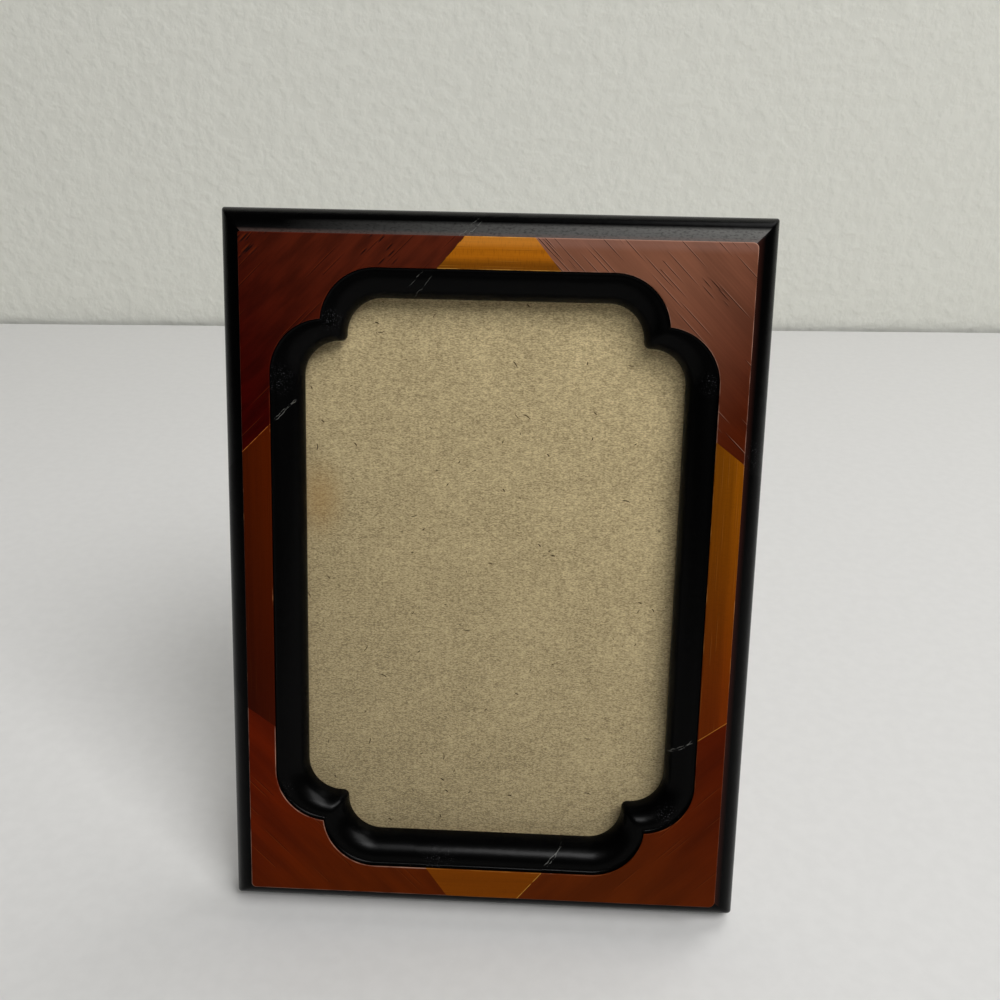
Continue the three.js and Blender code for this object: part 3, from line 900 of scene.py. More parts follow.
def turned(profile: list[Pair], steps: int = 48) -> tuple[np.ndarray, list[tuple[int, ...]]]:
    """Turns a profile about the z axis.

    Args:
        profile: radius and z of each point, from one end of the axis to the other.
        steps: how many faces go round.

    Returns:
        The points and the faces.
    """
    rings = [(radius, z) for radius, z in profile if radius > 0]
    angles = np.linspace(0.0, 2.0 * math.pi, steps, endpoint=False)
    points = [(r * math.cos(a), r * math.sin(a), z) for r, z in rings for a in angles]
    faces = []
    for ring in range(len(rings) - 1):
        for step in range(steps):
            beside = (step + 1) % steps
            low, high = ring * steps, (ring + 1) * steps
            faces.append((low + step, low + beside, high + beside, high + step))
    first, last = len(points), len(points) + 1
    points += [(0.0, 0.0, profile[0][1]), (0.0, 0.0, profile[-1][1])]
    top = (len(rings) - 1) * steps
    for step in range(steps):
        beside = (step + 1) % steps
        faces.append((first, beside, step))
        faces.append((last, top + step, top + beside))
    return np.array(points), faces


def dome(radius: float, height: float, base: float, steps: int = 10) -> list[Pair]:
    """The profile of a rounded head, from its rim to its crown."""
    angles = np.linspace(0.0, math.pi / 2, steps)
    curve = [(radius * math.cos(a), base + height * math.sin(a)) for a in angles[:-1]]
    return [*curve, (0.0, base + height)]


class Repeats:
    """Geometry Nodes trees that repeat one small piece."""

    def __init__(self) -> None:
        """Builds both trees."""
        self.at_points = self.tree("piece at each point", ("Turn",), self.each_point)
        self.over_faces = self.tree(
            "pieces strewn over faces", ("Spread", "Turn", "Smallest", "Largest"), self.strewn
        )

    def tree(self, name: str, sizes: tuple[str, ...], pick: Callable[..., tuple]) -> Tree:
        """Builds a tree that puts turned copies of a piece on points.

        Args:
            name: the tree's name.
            sizes: the names of its own number inputs.
            pick: gives the points and the copies' size, from the tree and its inputs.

        Returns:
            The tree.
        """
        tree = bpy.data.node_groups.new(name, "GeometryNodeTree")
        sockets = {
            "Geometry": "NodeSocketGeometry",
            "Piece": "NodeSocketObject",
            "Seed": "NodeSocketInt",
            "Finish": "NodeSocketMaterial",
            **dict.fromkeys(sizes, "NodeSocketFloat"),
        }
        for socket, kind in sockets.items():
            tree.interface.new_socket(socket, in_out="INPUT", socket_type=kind)
        tree.interface.new_socket("Geometry", in_out="OUTPUT", socket_type="NodeSocketGeometry")
        given = tree.nodes.new("NodeGroupInput").outputs
        points, scale = pick(tree, given)
        range_of_turns = {"Min": 0.0, "Max": given["Turn"], "Seed": given["Seed"]}
        turn = add_node(tree, "FunctionNodeRandomValue", range_of_turns, data_type="FLOAT")
        euler = add_node(tree, "ShaderNodeCombineXYZ", {"Z": turn})
        rotation = add_node(tree, "FunctionNodeEulerToRotation", {"Euler": euler})
        piece = add_node(tree, "GeometryNodeObjectInfo", {"Object": given["Piece"]}, "Geometry")
        each = {"Points": points, "Instance": piece, "Rotation": rotation, "Scale": scale}
        copies = add_node(tree, "GeometryNodeInstanceOnPoints", each)
        solid = add_node(tree, "GeometryNodeRealizeInstances", {"Geometry": copies})
        finish = {"Geometry": solid, "Material": given["Finish"]}
        dressed = add_node(tree, "GeometryNodeSetMaterial", finish)
        add_node(tree, "NodeGroupOutput", {"Geometry": dressed})
        return tree

    def each_point(self, tree: Tree, given: bpy.types.NodeOutputs) -> tuple[Socket, Triple]:
        """Takes every point of the mesh, at full size."""
        return add_node(tree, "GeometryNodeMeshToPoints", {"Mesh": given["Geometry"]}), (1.0, 1.0, 1.0)

    def strewn(self, tree: Tree, given: bpy.types.NodeOutputs) -> tuple[Socket, Socket]:
        """Takes random points on the mesh's faces, at random sizes."""
        spread = {"Mesh": given["Geometry"], "Density": given["Spread"], "Seed": given["Seed"]}
        points = add_node(tree, "GeometryNodeDistributePointsOnFaces", spread)
        sizes = {"Min": given["Smallest"], "Max": given["Largest"], "Seed": given["Seed"]}
        return points, add_node(tree, "FunctionNodeRandomValue", sizes, data_type="FLOAT")

    def made(self, name: str, tree: Tree, base: Mesh, piece: Mesh, values: dict) -> Mesh:
        """Runs a tree and keeps its result as a plain mesh.

        Args:
            name: the result's name.
            tree: one of the two trees.
            base: the points or faces that carry the copies, in the frame's plane.
            piece: the piece to repeat, in the frame's plane.
            values: the tree's other inputs by name.

        Returns:
            The mesh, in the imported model's metres.
        """
        carrier = bpy.data.objects.new(f"{name} carrier", base)
        pattern = bpy.data.objects.new(f"{name} pattern", piece)
        bpy.context.collection.objects.link(carrier)
        bpy.context.collection.objects.link(pattern)
        modifier = carrier.modifiers.new("repeat", "NODES")
        modifier.node_group = tree
        inputs = {"Piece": pattern, **values}
        for item in tree.interface.items_tree:
            if item.in_out == "INPUT" and item.name in inputs:
                modifier[item.identifier] = inputs[item.name]
        seen = carrier.evaluated_get(bpy.context.evaluated_depsgraph_get())
        mesh = bpy.data.meshes.new_from_object(seen)
        carrier.modifiers.remove(modifier)
        bpy.data.objects.remove(carrier)
        bpy.data.objects.remove(pattern)
        mesh.name = name
        mesh.transform(STANDING)
        return mesh


@dataclass(frozen=True)
class Ring:
    """An outline round the opening, as a quarter of it and its half sizes."""

    half: np.ndarray
    points: np.ndarray

    def toward(self, other: "Ring", share: float) -> "Ring":
        """The ring part of the way to another."""
        half = self.half + (other.half - self.half) * share
        return Ring(half, self.points + (other.points - self.points) * share)


@dataclass(frozen=True)
class Station:
    """A point of the moulding's section.

    It has its ring, its depth, what covers the strip after it, how worn it is, and how far across the
    polished face it lies, from 0 at the inner edge to 1 at the outer.
    """

    ring: Ring
    depth: float
    band: Band
    wear: float = 0.0
    across: float = 0.0


@dataclass
class Moulding:
    """The section of the segments: a flat polished face between a lobed bead and a rounded outer edge."""

    sight: Pair = (41.1, 61.3)
    rebate: Pair = (45.2, 64.2)
    bead_width: float = 6.3
    flat_sides: float = 6.2
    flat_ends: float = 6.7
    edge_width: float = 5.4
    sight_lobe: Pair = (9.3, 7.7)
    knob: float = 1.3
    face_lobe: Pair = (10.75, 11.8)
    bead_step: float = 1.2
    bead_shelf: float = 1.0
    bead_round: float = 4.7
    sight_wall: float = 0.6
    edge_step: float = 2.6
    edge_round: float = 6.2
    back: float = FRAME_BACK
    arris: float = 0.2
    worn_strip: float = 0.12
    outer_wear: float = 0.7
    inner_wear: float = 0.8
    fillet: float = 0.5
    face_corner: float = 0.7
    outer_corner: float = 0.5
    back_ease: float = 0.4
    lobe_steps: int = 24
    corner_steps: int = 5
    round_steps: int = 14
    ease_steps: int = 3

    def __post_init__(self) -> None:
        """Works out the rings and the section."""
        sight = np.array(self.sight)
        face_inner = sight + self.bead_width
        face_outer = face_inner + (self.flat_sides, self.flat_ends)
        self.curve_start = self.lobe_ends(sight, self.sight_lobe)
        self.sight_ring = self.lobed(sight, self.sight_lobe, self.knob)
        self.inner_ring = self.lobed(face_inner, self.face_lobe)
        self.outer_ring = self.squared(face_outer, self.face_corner)
        self.edge_ring = self.squared(face_outer + self.edge_width, self.outer_corner)
        self.rebate_ring = self.squared(np.array(self.rebate), 0.0)
        self.stations = self.section()

    def lobe_ends(self, half: np.ndarray, lobe: Pair) -> Pair:
        """The y at which the corner's curves start on a side, and the x at which they end on a rail."""
        points = self.lobed(half, lobe).points
        return points[0][1], points[-1][0]

    def lobed(self, half: np.ndarray, lobe: Pair, knob: float = 0.0) -> Ring:
        """A quarter of a lobed outline: a round lobe on the side, a cusp, and its mirror on the rail.

        Args:
            half: the outline's half width and half height.
            lobe: the step between the two lobes, and their radius.
            knob: the radius of the cusp's tip, where straight runs meet there.

        Returns:
            The ring.
        """
        step, radius = lobe
        centre = half - (radius, step + radius)
        reach = min(step, radius)
        rise = math.sqrt(radius**2 / 2 - reach**2 / 4)
        arc_end = math.atan2(rise + reach / 2, rise - reach / 2)
        cusp = centre + (rise + reach / 2 - step, rise + reach / 2)
        arc_length = radius * arc_end
        knob_start = arc_length + step - reach - knob
        length = knob_start + knob * math.pi / 4
        lobe_points = []
        for run in np.linspace(0.0, length, self.lobe_steps + 1):
            angle = min(run, arc_length) / radius
            straight = min(max(run - arc_length, 0.0), knob_start - arc_length)
            point = centre + (radius * math.cos(angle) - straight, radius * math.sin(angle))
            if run > knob_start:
                bend = (run - knob_start) / knob
                point += knob * np.array((-math.sin(bend), 1.0 - math.cos(bend)))
            lobe_points.append(point)
        mirrored = [cusp + (point - cusp)[::-1] for point in lobe_points[-2::-1]]
        return Ring(half, np.array(lobe_points + mirrored))

    def squared(self, half: np.ndarray, corner: float) -> Ring:
        """A quarter of a rectangle with a rounded corner, with as many points as a lobed one."""
        side, end = self.curve_start
        straight = self.lobe_steps - self.corner_steps
        up = [(half[0], y) for y in np.linspace(side, half[1] - corner, straight, endpoint=False)]
        angles = np.linspace(0.0, math.pi / 2, 2 * self.corner_steps + 1)
        bend = [half - corner * (1.0 - np.array((math.cos(a), math.sin(a)))) for a in angles]
        along = [(x, half[1]) for x in np.linspace(half[0] - corner, end, straight + 1)[1:]]
        return Ring(half, np.array([*up, *bend, *along]))

    def grown(self, ring: Ring, out: float) -> Ring:
        """The lobed ring that runs a distance outside the wood's inner edge."""
        step, radius = self.face_lobe
        return self.lobed(ring.half + out, (step, radius + out))

    def section(self) -> list[Station]:
        """The moulding's section, from the back of the rebate round the outside and back to the rebate."""
        back_ring = self.squared(self.edge_ring.half - self.back_ease, self.outer_corner)
        lip = -self.bead_step - self.bead_round - self.sight_wall
        return [
            Station(self.rebate_ring, self.back, Band.BARE),
            Station(back_ring, self.back, Band.BARE),
            Station(self.edge_ring, self.back + self.back_ease, Band.LACQUER),
            *self.outer_edge(),
            *self.polished_face(),
            *self.bead(),
            Station(self.sight_ring, lip, Band.BARE),
            Station(self.rebate_ring, lip, Band.BARE),
        ]

    def outer_edge(self) -> list[Station]:
        """The rounded outer edge, up to the foot of the polished face."""
        outer, edge = self.outer_ring, self.edge_ring
        rows = []
        for angle in np.linspace(0.0, math.pi / 2, self.round_steps + 1)[:0:-1]:
            depth = -self.edge_step - self.edge_round * (1.0 - math.cos(angle))
            rows.append(Station(outer.toward(edge, math.sin(angle)), depth, Band.LACQUER))
        foot = self.fillet / self.edge_width
        for angle in np.linspace(0.0, math.pi / 2, self.ease_steps + 1)[:-1]:
            share = foot * (1.0 - math.sin(angle))
            depth = -self.edge_step + self.fillet * (1.0 - math.cos(angle))
            rows.append(Station(outer.toward(edge, share), depth, Band.LACQUER))
        return rows

    def polished_face(self) -> list[Station]:
        """The polished face between its two arrises, from the outer to the inner edge."""
        outer, inner = self.outer_ring, self.inner_ring
        ease = np.linspace(0.0, math.pi / 2, self.ease_steps + 1)
        rows = []
        for angle in ease:
            back = self.arris * (1.0 - math.cos(angle))
            depth = -self.arris * (1.0 - math.sin(angle))
            ring = self.squared(outer.half - back, self.face_corner)
            rows.append(Station(ring, depth, Band.POLISHED, self.outer_wear * math.sin(2 * angle), 1.0))
        worn = self.arris + self.worn_strip
        unworn = self.squared(outer.half - worn, self.face_corner)
        rows.append(Station(unworn, 0.0, Band.POLISHED, across=1.0))
        rows.append(Station(self.grown(inner, worn), 0.0, Band.POLISHED))
        for angle in ease[::-1]:
            back = self.arris * (1.0 - math.cos(angle))
            depth = -self.arris * (1.0 - math.sin(angle))
            band = Band.POLISHED if angle > 0.0 else Band.LACQUER
            wear = self.inner_wear * math.sin(2 * angle)
            rows.append(Station(self.grown(inner, back), depth, band, wear))
        return rows

    def bead(self) -> list[Station]:
        """The step, shelf and round of the bead, from the polished face to the opening."""
        inner, sight = self.inner_ring, self.sight_ring
        rows = []
        for angle in np.linspace(0.0, math.pi / 2, self.ease_steps + 1):
            share = self.fillet * (1.0 - math.cos(angle)) / self.bead_width
            depth = -self.bead_step + self.fillet * (1.0 - math.sin(angle))
            rows.append(Station(inner.toward(sight, share), depth, Band.LACQUER))
        shelf = inner.toward(sight, self.bead_shelf / self.bead_width)
        for angle in np.linspace(0.0, math.pi / 2, self.round_steps + 1):
            depth = -self.bead_step - self.bead_round * (1.0 - math.cos(angle))
            rows.append(Station(shelf.toward(sight, math.sin(angle)), depth, Band.LACQUER))
        return rows

    def joint(self, side: Side, end: int, out: np.ndarray) -> np.ndarray:
        """How far an amber piece reaches towards one end, at a distance from the frame's middle."""
        axis, _ = side.value
        inner, outer = self.inner_ring.half[axis], self.outer_ring.half[axis]
        at_inner, at_outer = JOINTS[side, end]
        return at_inner + (at_outer - at_inner) * (out - inner) / (outer - inner)


# Dark red mahogany: a soft figure, and long black pores whose lips catch the light
MAHOGANY = PolishedWood("mahogany", roughness=0.34, mirror=0.03, rougher=0.3)
FEW_PORES = (Pores(share=0.2, depth=0.6, lip=0.3),)

# A golden amber wood: straight even grain with fine rays across it, and hardly any pores
AMBER_WOOD = replace(
    MAHOGANY,
    name="amber_wood",
    reach=(-34.0, 34.0),
    figure=Marks((120.0, 3.0, 3.0), detail=3.0),
    figure_depth=0.12,
    ray_depth=0.1,
    pore="#2a1000",
    pores=(Pores(depth=0.2, lip=0.12),),
)

# Each segment was cut from its own part of a board, so each has its own tone. The tones also carry some
# painted sheen, which makes the top and right pieces lighter
SEGMENT_WOODS = {
    # Its tone is painted lighter and greyer towards the top, a painted sheen; clusters of deep pores, and a
    # scuffed upper arris that also carries a painted highlight
    Quarter.TOP_RIGHT: replace(
        MAHOGANY,
        start="#7a4e3a",
        end="#451604",
        reach=(-30.0, 14.0),
        lip="#a67a66",
        # Pale wear on the arrises, also used for the painted highlight on the upper arris
        worn="#b98e7a",
        # A painted sheen along the top edge
        bleach="#b69791",
        bleached=0.1,
        upper_wear=0.9,
        pores=(
            Pores(share=0.5),
            Pores(
                cell=(8.0, 0.6),
                length=7.5,
                width=0.14,
                share=0.8,
                depth=0.9,
                lip=0.4,
                within=Oval((-44.0, 59.0), (10.0, 2.6)),
            ),
            Pores(
                cell=(6.5, 0.7),
                length=5.2,
                width=0.16,
                share=0.8,
                depth=0.9,
                lip=0.15,
                within=Oval((-13.3, 77.4), (4.6, 1.8)),
            ),
        ),
    ),
    # The darkest red, with a curly figure and short torn pores near its corner
    Quarter.TOP_LEFT: replace(
        MAHOGANY,
        start="#471809",
        end="#2d0100",
        figure=Marks((12.0, 2.6, 2.6), detail=3.0),
        figure_depth=0.6,
        lip="#642408",
        worn="#5a2010",
        pores=(
            Pores(share=0.35),
            Pores(
                cell=(4.0, 0.9),
                length=3.4,
                width=0.3,
                share=0.9,
                depth=0.95,
                lip=0.4,
                within=Oval((-15.0, 88.0), (7.0, 3.6)),
            ),
            Pores(
                cell=(4.0, 1.6),
                length=2.4,
                width=0.24,
                share=0.5,
                depth=0.95,
                lip=0.3,
                within=Oval((-33.0, 67.0), (5.0, 5.0)),
            ),
        ),
    ),
    # A warm red-brown in broad bands, rubbed pale along its arrises
    Quarter.BOTTOM_LEFT: replace(
        MAHOGANY,
        start="#4b1900",
        end="#501200",
        figure=Marks((26.0, 4.0, 4.0), detail=3.0),
        figure_depth=0.4,
        lip="#7a3a16",
        worn="#a3806e",
        worn_patches=replace(MAHOGANY.worn_patches, keep=(0.3, 0.6)),
        pores=FEW_PORES,
    ),
    # Much like its neighbour, in wider bands
    Quarter.BOTTOM_RIGHT: replace(
        MAHOGANY,
        start="#4e1d02",
        end="#471200",
        figure=Marks((26.0, 6.0, 6.0), detail=3.0),
        figure_depth=0.35,
        lip="#7a3a16",
        worn="#7a4020",
        pores=FEW_PORES,
    ),
    # The brightest gold, dark beside the bead, with a painted sheen along the top
    Side.TOP: replace(
        AMBER_WOOD,
        start="#985707",
        end="#985707",
        edge_tones=(0.48, 1.3),
        ray_depth=0.2,
        bleach="#caa158",
        bleached=0.15,
        lip="#d09030",
        worn="#e0a850",
        glue="#180902",
        open_end=-1,
    ),
    # Gold that darkens downwards, brighter along its outer edge
    Side.RIGHT: replace(
        AMBER_WOOD,
        start="#561f01",
        end="#6c3b02",
        edge_tones=(0.95, 1.4),
        lip="#b07030",
        worn="#a87038",
        worn_patches=replace(AMBER_WOOD.worn_patches, keep=(0.5, 0.7)),
        glue="#b0722e",
        open_end=-1,
    ),
    # An even brownish gold
    Side.BOTTOM: replace(
        AMBER_WOOD,
        start="#693301",
        end="#693301",
        lip="#a06020",
        worn="#9a6020",
        glue="#b98a3a",
        open_end=1,
    ),
    # A red-brown almost as dark as the mahogany, darker still along its outer edge
    Side.LEFT: replace(
        AMBER_WOOD,
        start="#300900",
        end="#431400",
        edge_tones=(1.1, 0.8),
        lip="#5a2a08",
        worn="#a87048",
        worn_patches=replace(AMBER_WOOD.worn_patches, keep=(0.58, 0.75)),
        glue="#a8602a",
        open_end=1,
    ),
}

# Sawn backs, dull and bare, with the saw's fine streaks along the grain
SAWN_MAHOGANY = PlainStock(
    "sawn_mahogany",
    roughness=0.7,
    mirror=0.2,
    light="#5a3020",
    dark="#3f1e13",
    mottle=(9.0, 0.6, 0.6),
    laid_along="grain",
)
SAWN_AMBER_WOOD = replace(SAWN_MAHOGANY, name="sawn_amber_wood", light="#80522a", dark="#623a1a")


class WoodFinishes:
    """The materials of the segments."""

    def __init__(self) -> None:
        """Makes the materials."""
        self.polished = {}
        for number, (segment, wood) in enumerate(SEGMENT_WOODS.items()):
            own = replace(wood, name=f"{wood.name}_{segment.label}", shift=BOARDS_APART * number)
            self.polished[segment] = own.material()
        # Satin black: a soft broad shine on the rounds, dull where dust lies on it
        self.lacquer = BlackLacquer("black_lacquer", roughness=0.27, mirror=0.05, rougher=0.4).material()
        self.bare = {Quarter: SAWN_MAHOGANY.material(), Side: SAWN_AMBER_WOOD.material()}


@dataclass
class Segments:
    """Builds and dresses the eight segments of the moulding."""

    finishes: WoodFinishes

    def build(self) -> None:
        """Builds the four corner blocks and the four amber pieces."""
        for quarter in Quarter:
            self.corner(quarter, Moulding(face_corner=FACE_CORNERS[quarter]))
        for side in Side:
            self.straight(side, Moulding())

    def corner(self, quarter: Quarter, shape: Moulding) -> None:
        """Builds a corner block, with its grain square to the corner's diagonal."""
        right, up = quarter.value
        stile = Side.RIGHT if right > 0 else Side.LEFT
        rail = Side.TOP if up > 0 else Side.BOTTOM
        rows = []
        for station in shape.stations:
            half = station.ring.half
            low = (half[0], shape.joint(stile, up, half[0]))
            high = (shape.joint(rail, right, half[1]), half[1])
            rows.append(np.array([low, *station.ring.points, high]))
        plan = np.stack(rows, axis=1)
        x, y = plan[..., 0], plan[..., 1]
        depth = np.broadcast_to([station.depth for station in shape.stations], x.shape)
        from_stile = (y - shape.joint(stile, up, x)) * DIAGONAL
        from_rail = (x - shape.joint(rail, right, y)) * DIAGONAL
        self.dress(
            f"corner_block_{quarter.label}",
            quarter,
            shape,
            np.dstack([plan * quarter.value, depth]),
            np.dstack([(x - y) * DIAGONAL, (x + y) * DIAGONAL, depth]),
            np.minimum(from_stile, from_rail),
        )

    def straight(self, side: Side, shape: Moulding) -> None:
        """Builds an amber piece, with its grain along it."""
        axis, sign = side.value
        far = np.array([station.ring.half[axis] for station in shape.stations])
        low, high = -shape.joint(side, -1, far), shape.joint(side, 1, far)
        lengths = np.stack([low, (low + high) / 2, high])
        out = np.broadcast_to(far * sign, lengths.shape)
        depth = np.broadcast_to([station.depth for station in shape.stations], lengths.shape)
        joint = np.minimum(lengths - low, high - lengths) * DIAGONAL
        plan = [lengths, out] if axis == 1 else [out, lengths]
        grain = np.dstack([lengths, out, depth])
        self.dress(side.label, side, shape, np.dstack([*plan, depth]), grain, joint)

    def dress(
        self,
        name: str,
        segment: Quarter | Side,
        shape: Moulding,
        sections: np.ndarray,
        grain: np.ndarray,
        joint: np.ndarray,
    ) -> None:
        """Makes a segment's piece from its sections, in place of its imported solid.

        Args:
            name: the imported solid.
            segment: the segment, for its finish.
            shape: its moulding.
            sections: its sections, in the frame's plane.
            grain: distance along, across and into the grain at each point.
            joint: distance to the nearer joint at each point.
        """
        stations = shape.stations
        mesh = lofted(name, sections)
        count = len(sections)
        bands = [station.band for station in stations] * (count - 1) + [Band.BARE] * 2
        mesh.polygons.foreach_set("material_index", bands)
        store(mesh, "grain", grain.reshape(-1, 3))
        store(mesh, "joint", joint.ravel())
        store(mesh, "wear", np.tile([station.wear for station in stations], count))
        store(mesh, "across", np.tile([station.across for station in stations], count))
        polished, bare = self.finishes.polished[segment], self.finishes.bare[type(segment)]
        piece = finished(name + "_wood", mesh, "frame", [polished, self.finishes.lacquer, bare])
        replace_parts(piece, name)


@dataclass(frozen=True)
class Slivers:
    """Bent slivers of bark, tapered at both ends.

    The width and length are a sliver's at full size, and the smallest and largest scale it.
    """

    name: str
    width: float
    per_square: float
    seed: int
    smallest: float
    largest: float
    length: float = 1.0
    thickness: float = 0.02
    bend: float = 0.1
    taper: float = 0.8
    taper_power: int = 4
    steps: int = 5

    def pattern(self) -> Mesh:
        """One sliver at full size, lying on z = 0."""
        points = []
        for run in np.linspace(-0.5, 0.5, self.steps + 1):
            half = self.width / 2 * (1.0 - self.taper * (2.0 * run) ** self.taper_power)
            middle = self.bend * (1.0 - (2.0 * run) ** 2)
            low, high = middle - half, middle + half
            corners = ((low, 0.0), (high, 0.0), (high, self.thickness), (low, self.thickness))
            points += [(run * self.length, y, z) for y, z in corners]
        mesh = bpy.data.meshes.new("sliver")
        mesh.from_pydata(points, [], skinned(self.steps + 1, len(corners)))
        return mesh


@dataclass
class PictureStack:
    """What lies in the rebate: the glass, the card and the backing board."""

    repeats: Repeats
    glass_ease: float = 0.25
    card_ease: float = 0.15
    board_ease: float = 0.4
    card_half: Pair = (43.5, 62.5)
    card_front: float = -9.1
    slivers: tuple[Slivers, ...] = (
        Slivers("card_flecks", width=0.3, per_square=0.008, seed=3, smallest=0.3, largest=1.0),
        Slivers("card_hairs", width=0.12, per_square=0.0022, seed=8, smallest=1.1, largest=1.9),
    )
    # Clear, with next to no glare
    glass: PictureGlass = PictureGlass("picture_glass")
    # Dull, warm and speckled
    card: Chipboard = Chipboard("chipboard", roughness=0.9, mirror=0.1)
    # Nearly black paper with a fine tooth
    board: PlainStock = PlainStock(
        "paper_faced_hardboard",
        roughness=0.75,
        mirror=0.25,
        light="#2d2a27",
        dark="#24211f",
        mottle=(0.5, 0.5, 0.5),
    )
    # Dark brown bark, dull
    bark: PlainStock = PlainStock("bark_fleck", roughness=0.9, mirror=0.1, light="#5a4a32", dark="#3a2d1a")

    def build(self) -> None:
        """Builds the three sheets and the card's slivers."""
        self.sheet("glass_pane", self.glass_ease, "clear_glass", self.glass)
        self.sheet("picture_card", self.card_ease, "chipboard", self.card)
        self.sheet("backing_board", self.board_ease, "hardboard", self.board)
        bark = self.bark.material()
        for slivers in self.slivers:
            self.strewn(slivers, bark)

    def sheet(self, node: str, ease: float, slot: str, finish: Finish) -> None:
        """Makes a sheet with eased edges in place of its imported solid."""
        mesh = eased_copy(node, node, ease)
        piece = finished(node + "_sheet", mesh, "frame", [finish.material()], edges_marked=True)
        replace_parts(piece, node)

    def strewn(self, slivers: Slivers, bark: Material) -> None:
        """Strews slivers over the front of the card."""
        x, y = self.card_half
        z = self.card_front
        front = bpy.data.meshes.new(slivers.name)
        front.from_pydata([(-x, -y, z), (x, -y, z), (x, y, z), (-x, y, z)], [], [(0, 1, 2, 3)])
        values = {
            "Spread": slivers.per_square,
            "Seed": slivers.seed,
            "Turn": 2.0 * math.pi,
            "Smallest": slivers.smallest,
            "Largest": slivers.largest,
            "Finish": bark,
        }
        mesh = self.repeats.made(slivers.name, self.repeats.over_faces, front, slivers.pattern(), values)
        finished(slivers.name, mesh, "frame", [bark])


@dataclass
class EaselBack:
    """The strut, its bracket, pin and rivets."""

    repeats: Repeats
    back: float = FRAME_BACK
    pin_at: Pair = (35.5, -18.3)
    rivet_spacing: float = 12.0
    rivet_rise: float = 9.0
    rivet: float = 2.4
    rivet_head: Pair = (4.6, 0.9)
    rivet_base: float = 1.4
    rivet_tail: Pair = (-2.7, -2.2)
    rivet_seed: int = 1
    pin: float = 2.0
    pin_head: Pair = (3.6, 0.8)
    pin_half: float = 12.4
    strut_ease: float = 0.6
    bracket_ease: float = 0.25
    # Nearly black paper with a fine tooth, a shade paler than the board's
    board: PlainStock = PlainStock(
        "paper_faced_strut_board",
        roughness=0.75,
        mirror=0.25,
        light="#312d2a",
        dark="#272422",
        mottle=(0.5, 0.5, 0.5),
    )
    # Bright grey plating with the faint lines of the rolled sheet
    steel: PlainStock = PlainStock(
        "plated_steel",
        roughness=0.32,
        light="#b9b9ba",
        dark="#a3a3a5",
        mottle=(0.3, 3.0, 0.3),
        metallic=1.0,
        relief=0.004,
    )

    def build(self) -> None:
        """Builds the four sorts of piece."""
        board, steel = self.board.material(), self.steel.material()
        mesh = eased_copy("strut", "easel_strut", self.strut_ease)
        strut = finished("easel_strut_board", mesh, "strut", [board], edges_marked=True)
        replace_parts(strut, "easel_strut")
        mesh = eased_copy("bracket", "hinge_bracket", self.bracket_ease)
        bracket = finished("hinge_bracket_sheet", mesh, "frame", [steel], edges_marked=True)
        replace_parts(bracket, "hinge_bracket")
        self.build_pin(steel)
        self.build_rivets(steel)

    def build_pin(self, steel: Material) -> None:
        """Builds the pin along x, with a head peened round on each end."""
        half, (head, height) = self.pin_half, self.pin_head
        crown = dome(head / 2, height, half)
        profile = [(radius, -z) for radius, z in reversed(crown)]
        profile += [(self.pin / 2, -half), (self.pin / 2, half)] + crown
        points, faces = turned(profile)
        mesh = bpy.data.meshes.new("pin")
        y, z = self.pin_at
        lying = np.stack([points[:, 2], points[:, 0] + y, points[:, 1] + z], axis=1)
        mesh.from_pydata(placed(lying), [], faces)
        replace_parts(finished("hinge_pin_turned", mesh, "frame", [steel]), "hinge_pin")

    def build_rivets(self, steel: Material) -> None:
        """Builds both rivets, heads to the back."""
        head, height = self.rivet_head
        front, rear = self.rivet_tail
        profile = [(0.0, front), (head / 2, front), (head / 2, rear), (self.rivet / 2, rear)]
        profile += [(self.rivet / 2, self.rivet_base)] + dome(head / 2, height, self.rivet_base)
        points, faces = turned(profile)
        pattern = bpy.data.meshes.new("rivet")
        pattern.from_pydata(points * (1.0, 1.0, -1.0), [], faces)
        y = self.pin_at[0] + self.rivet_rise
        spots = bpy.data.meshes.new("rivet spots")
        spots.from_pydata([(side * self.rivet_spacing / 2, y, self.back) for side in (-1, 1)], [], [])
        values = {"Seed": self.rivet_seed, "Turn": 0.0, "Finish": steel}
        mesh = self.repeats.made("bracket_rivets", self.repeats.at_points, spots, pattern, values)
        rivets = finished("bracket_rivets", mesh, "frame", [steel])
        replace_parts(rivets, "bracket_rivet_left", "bracket_rivet_right")


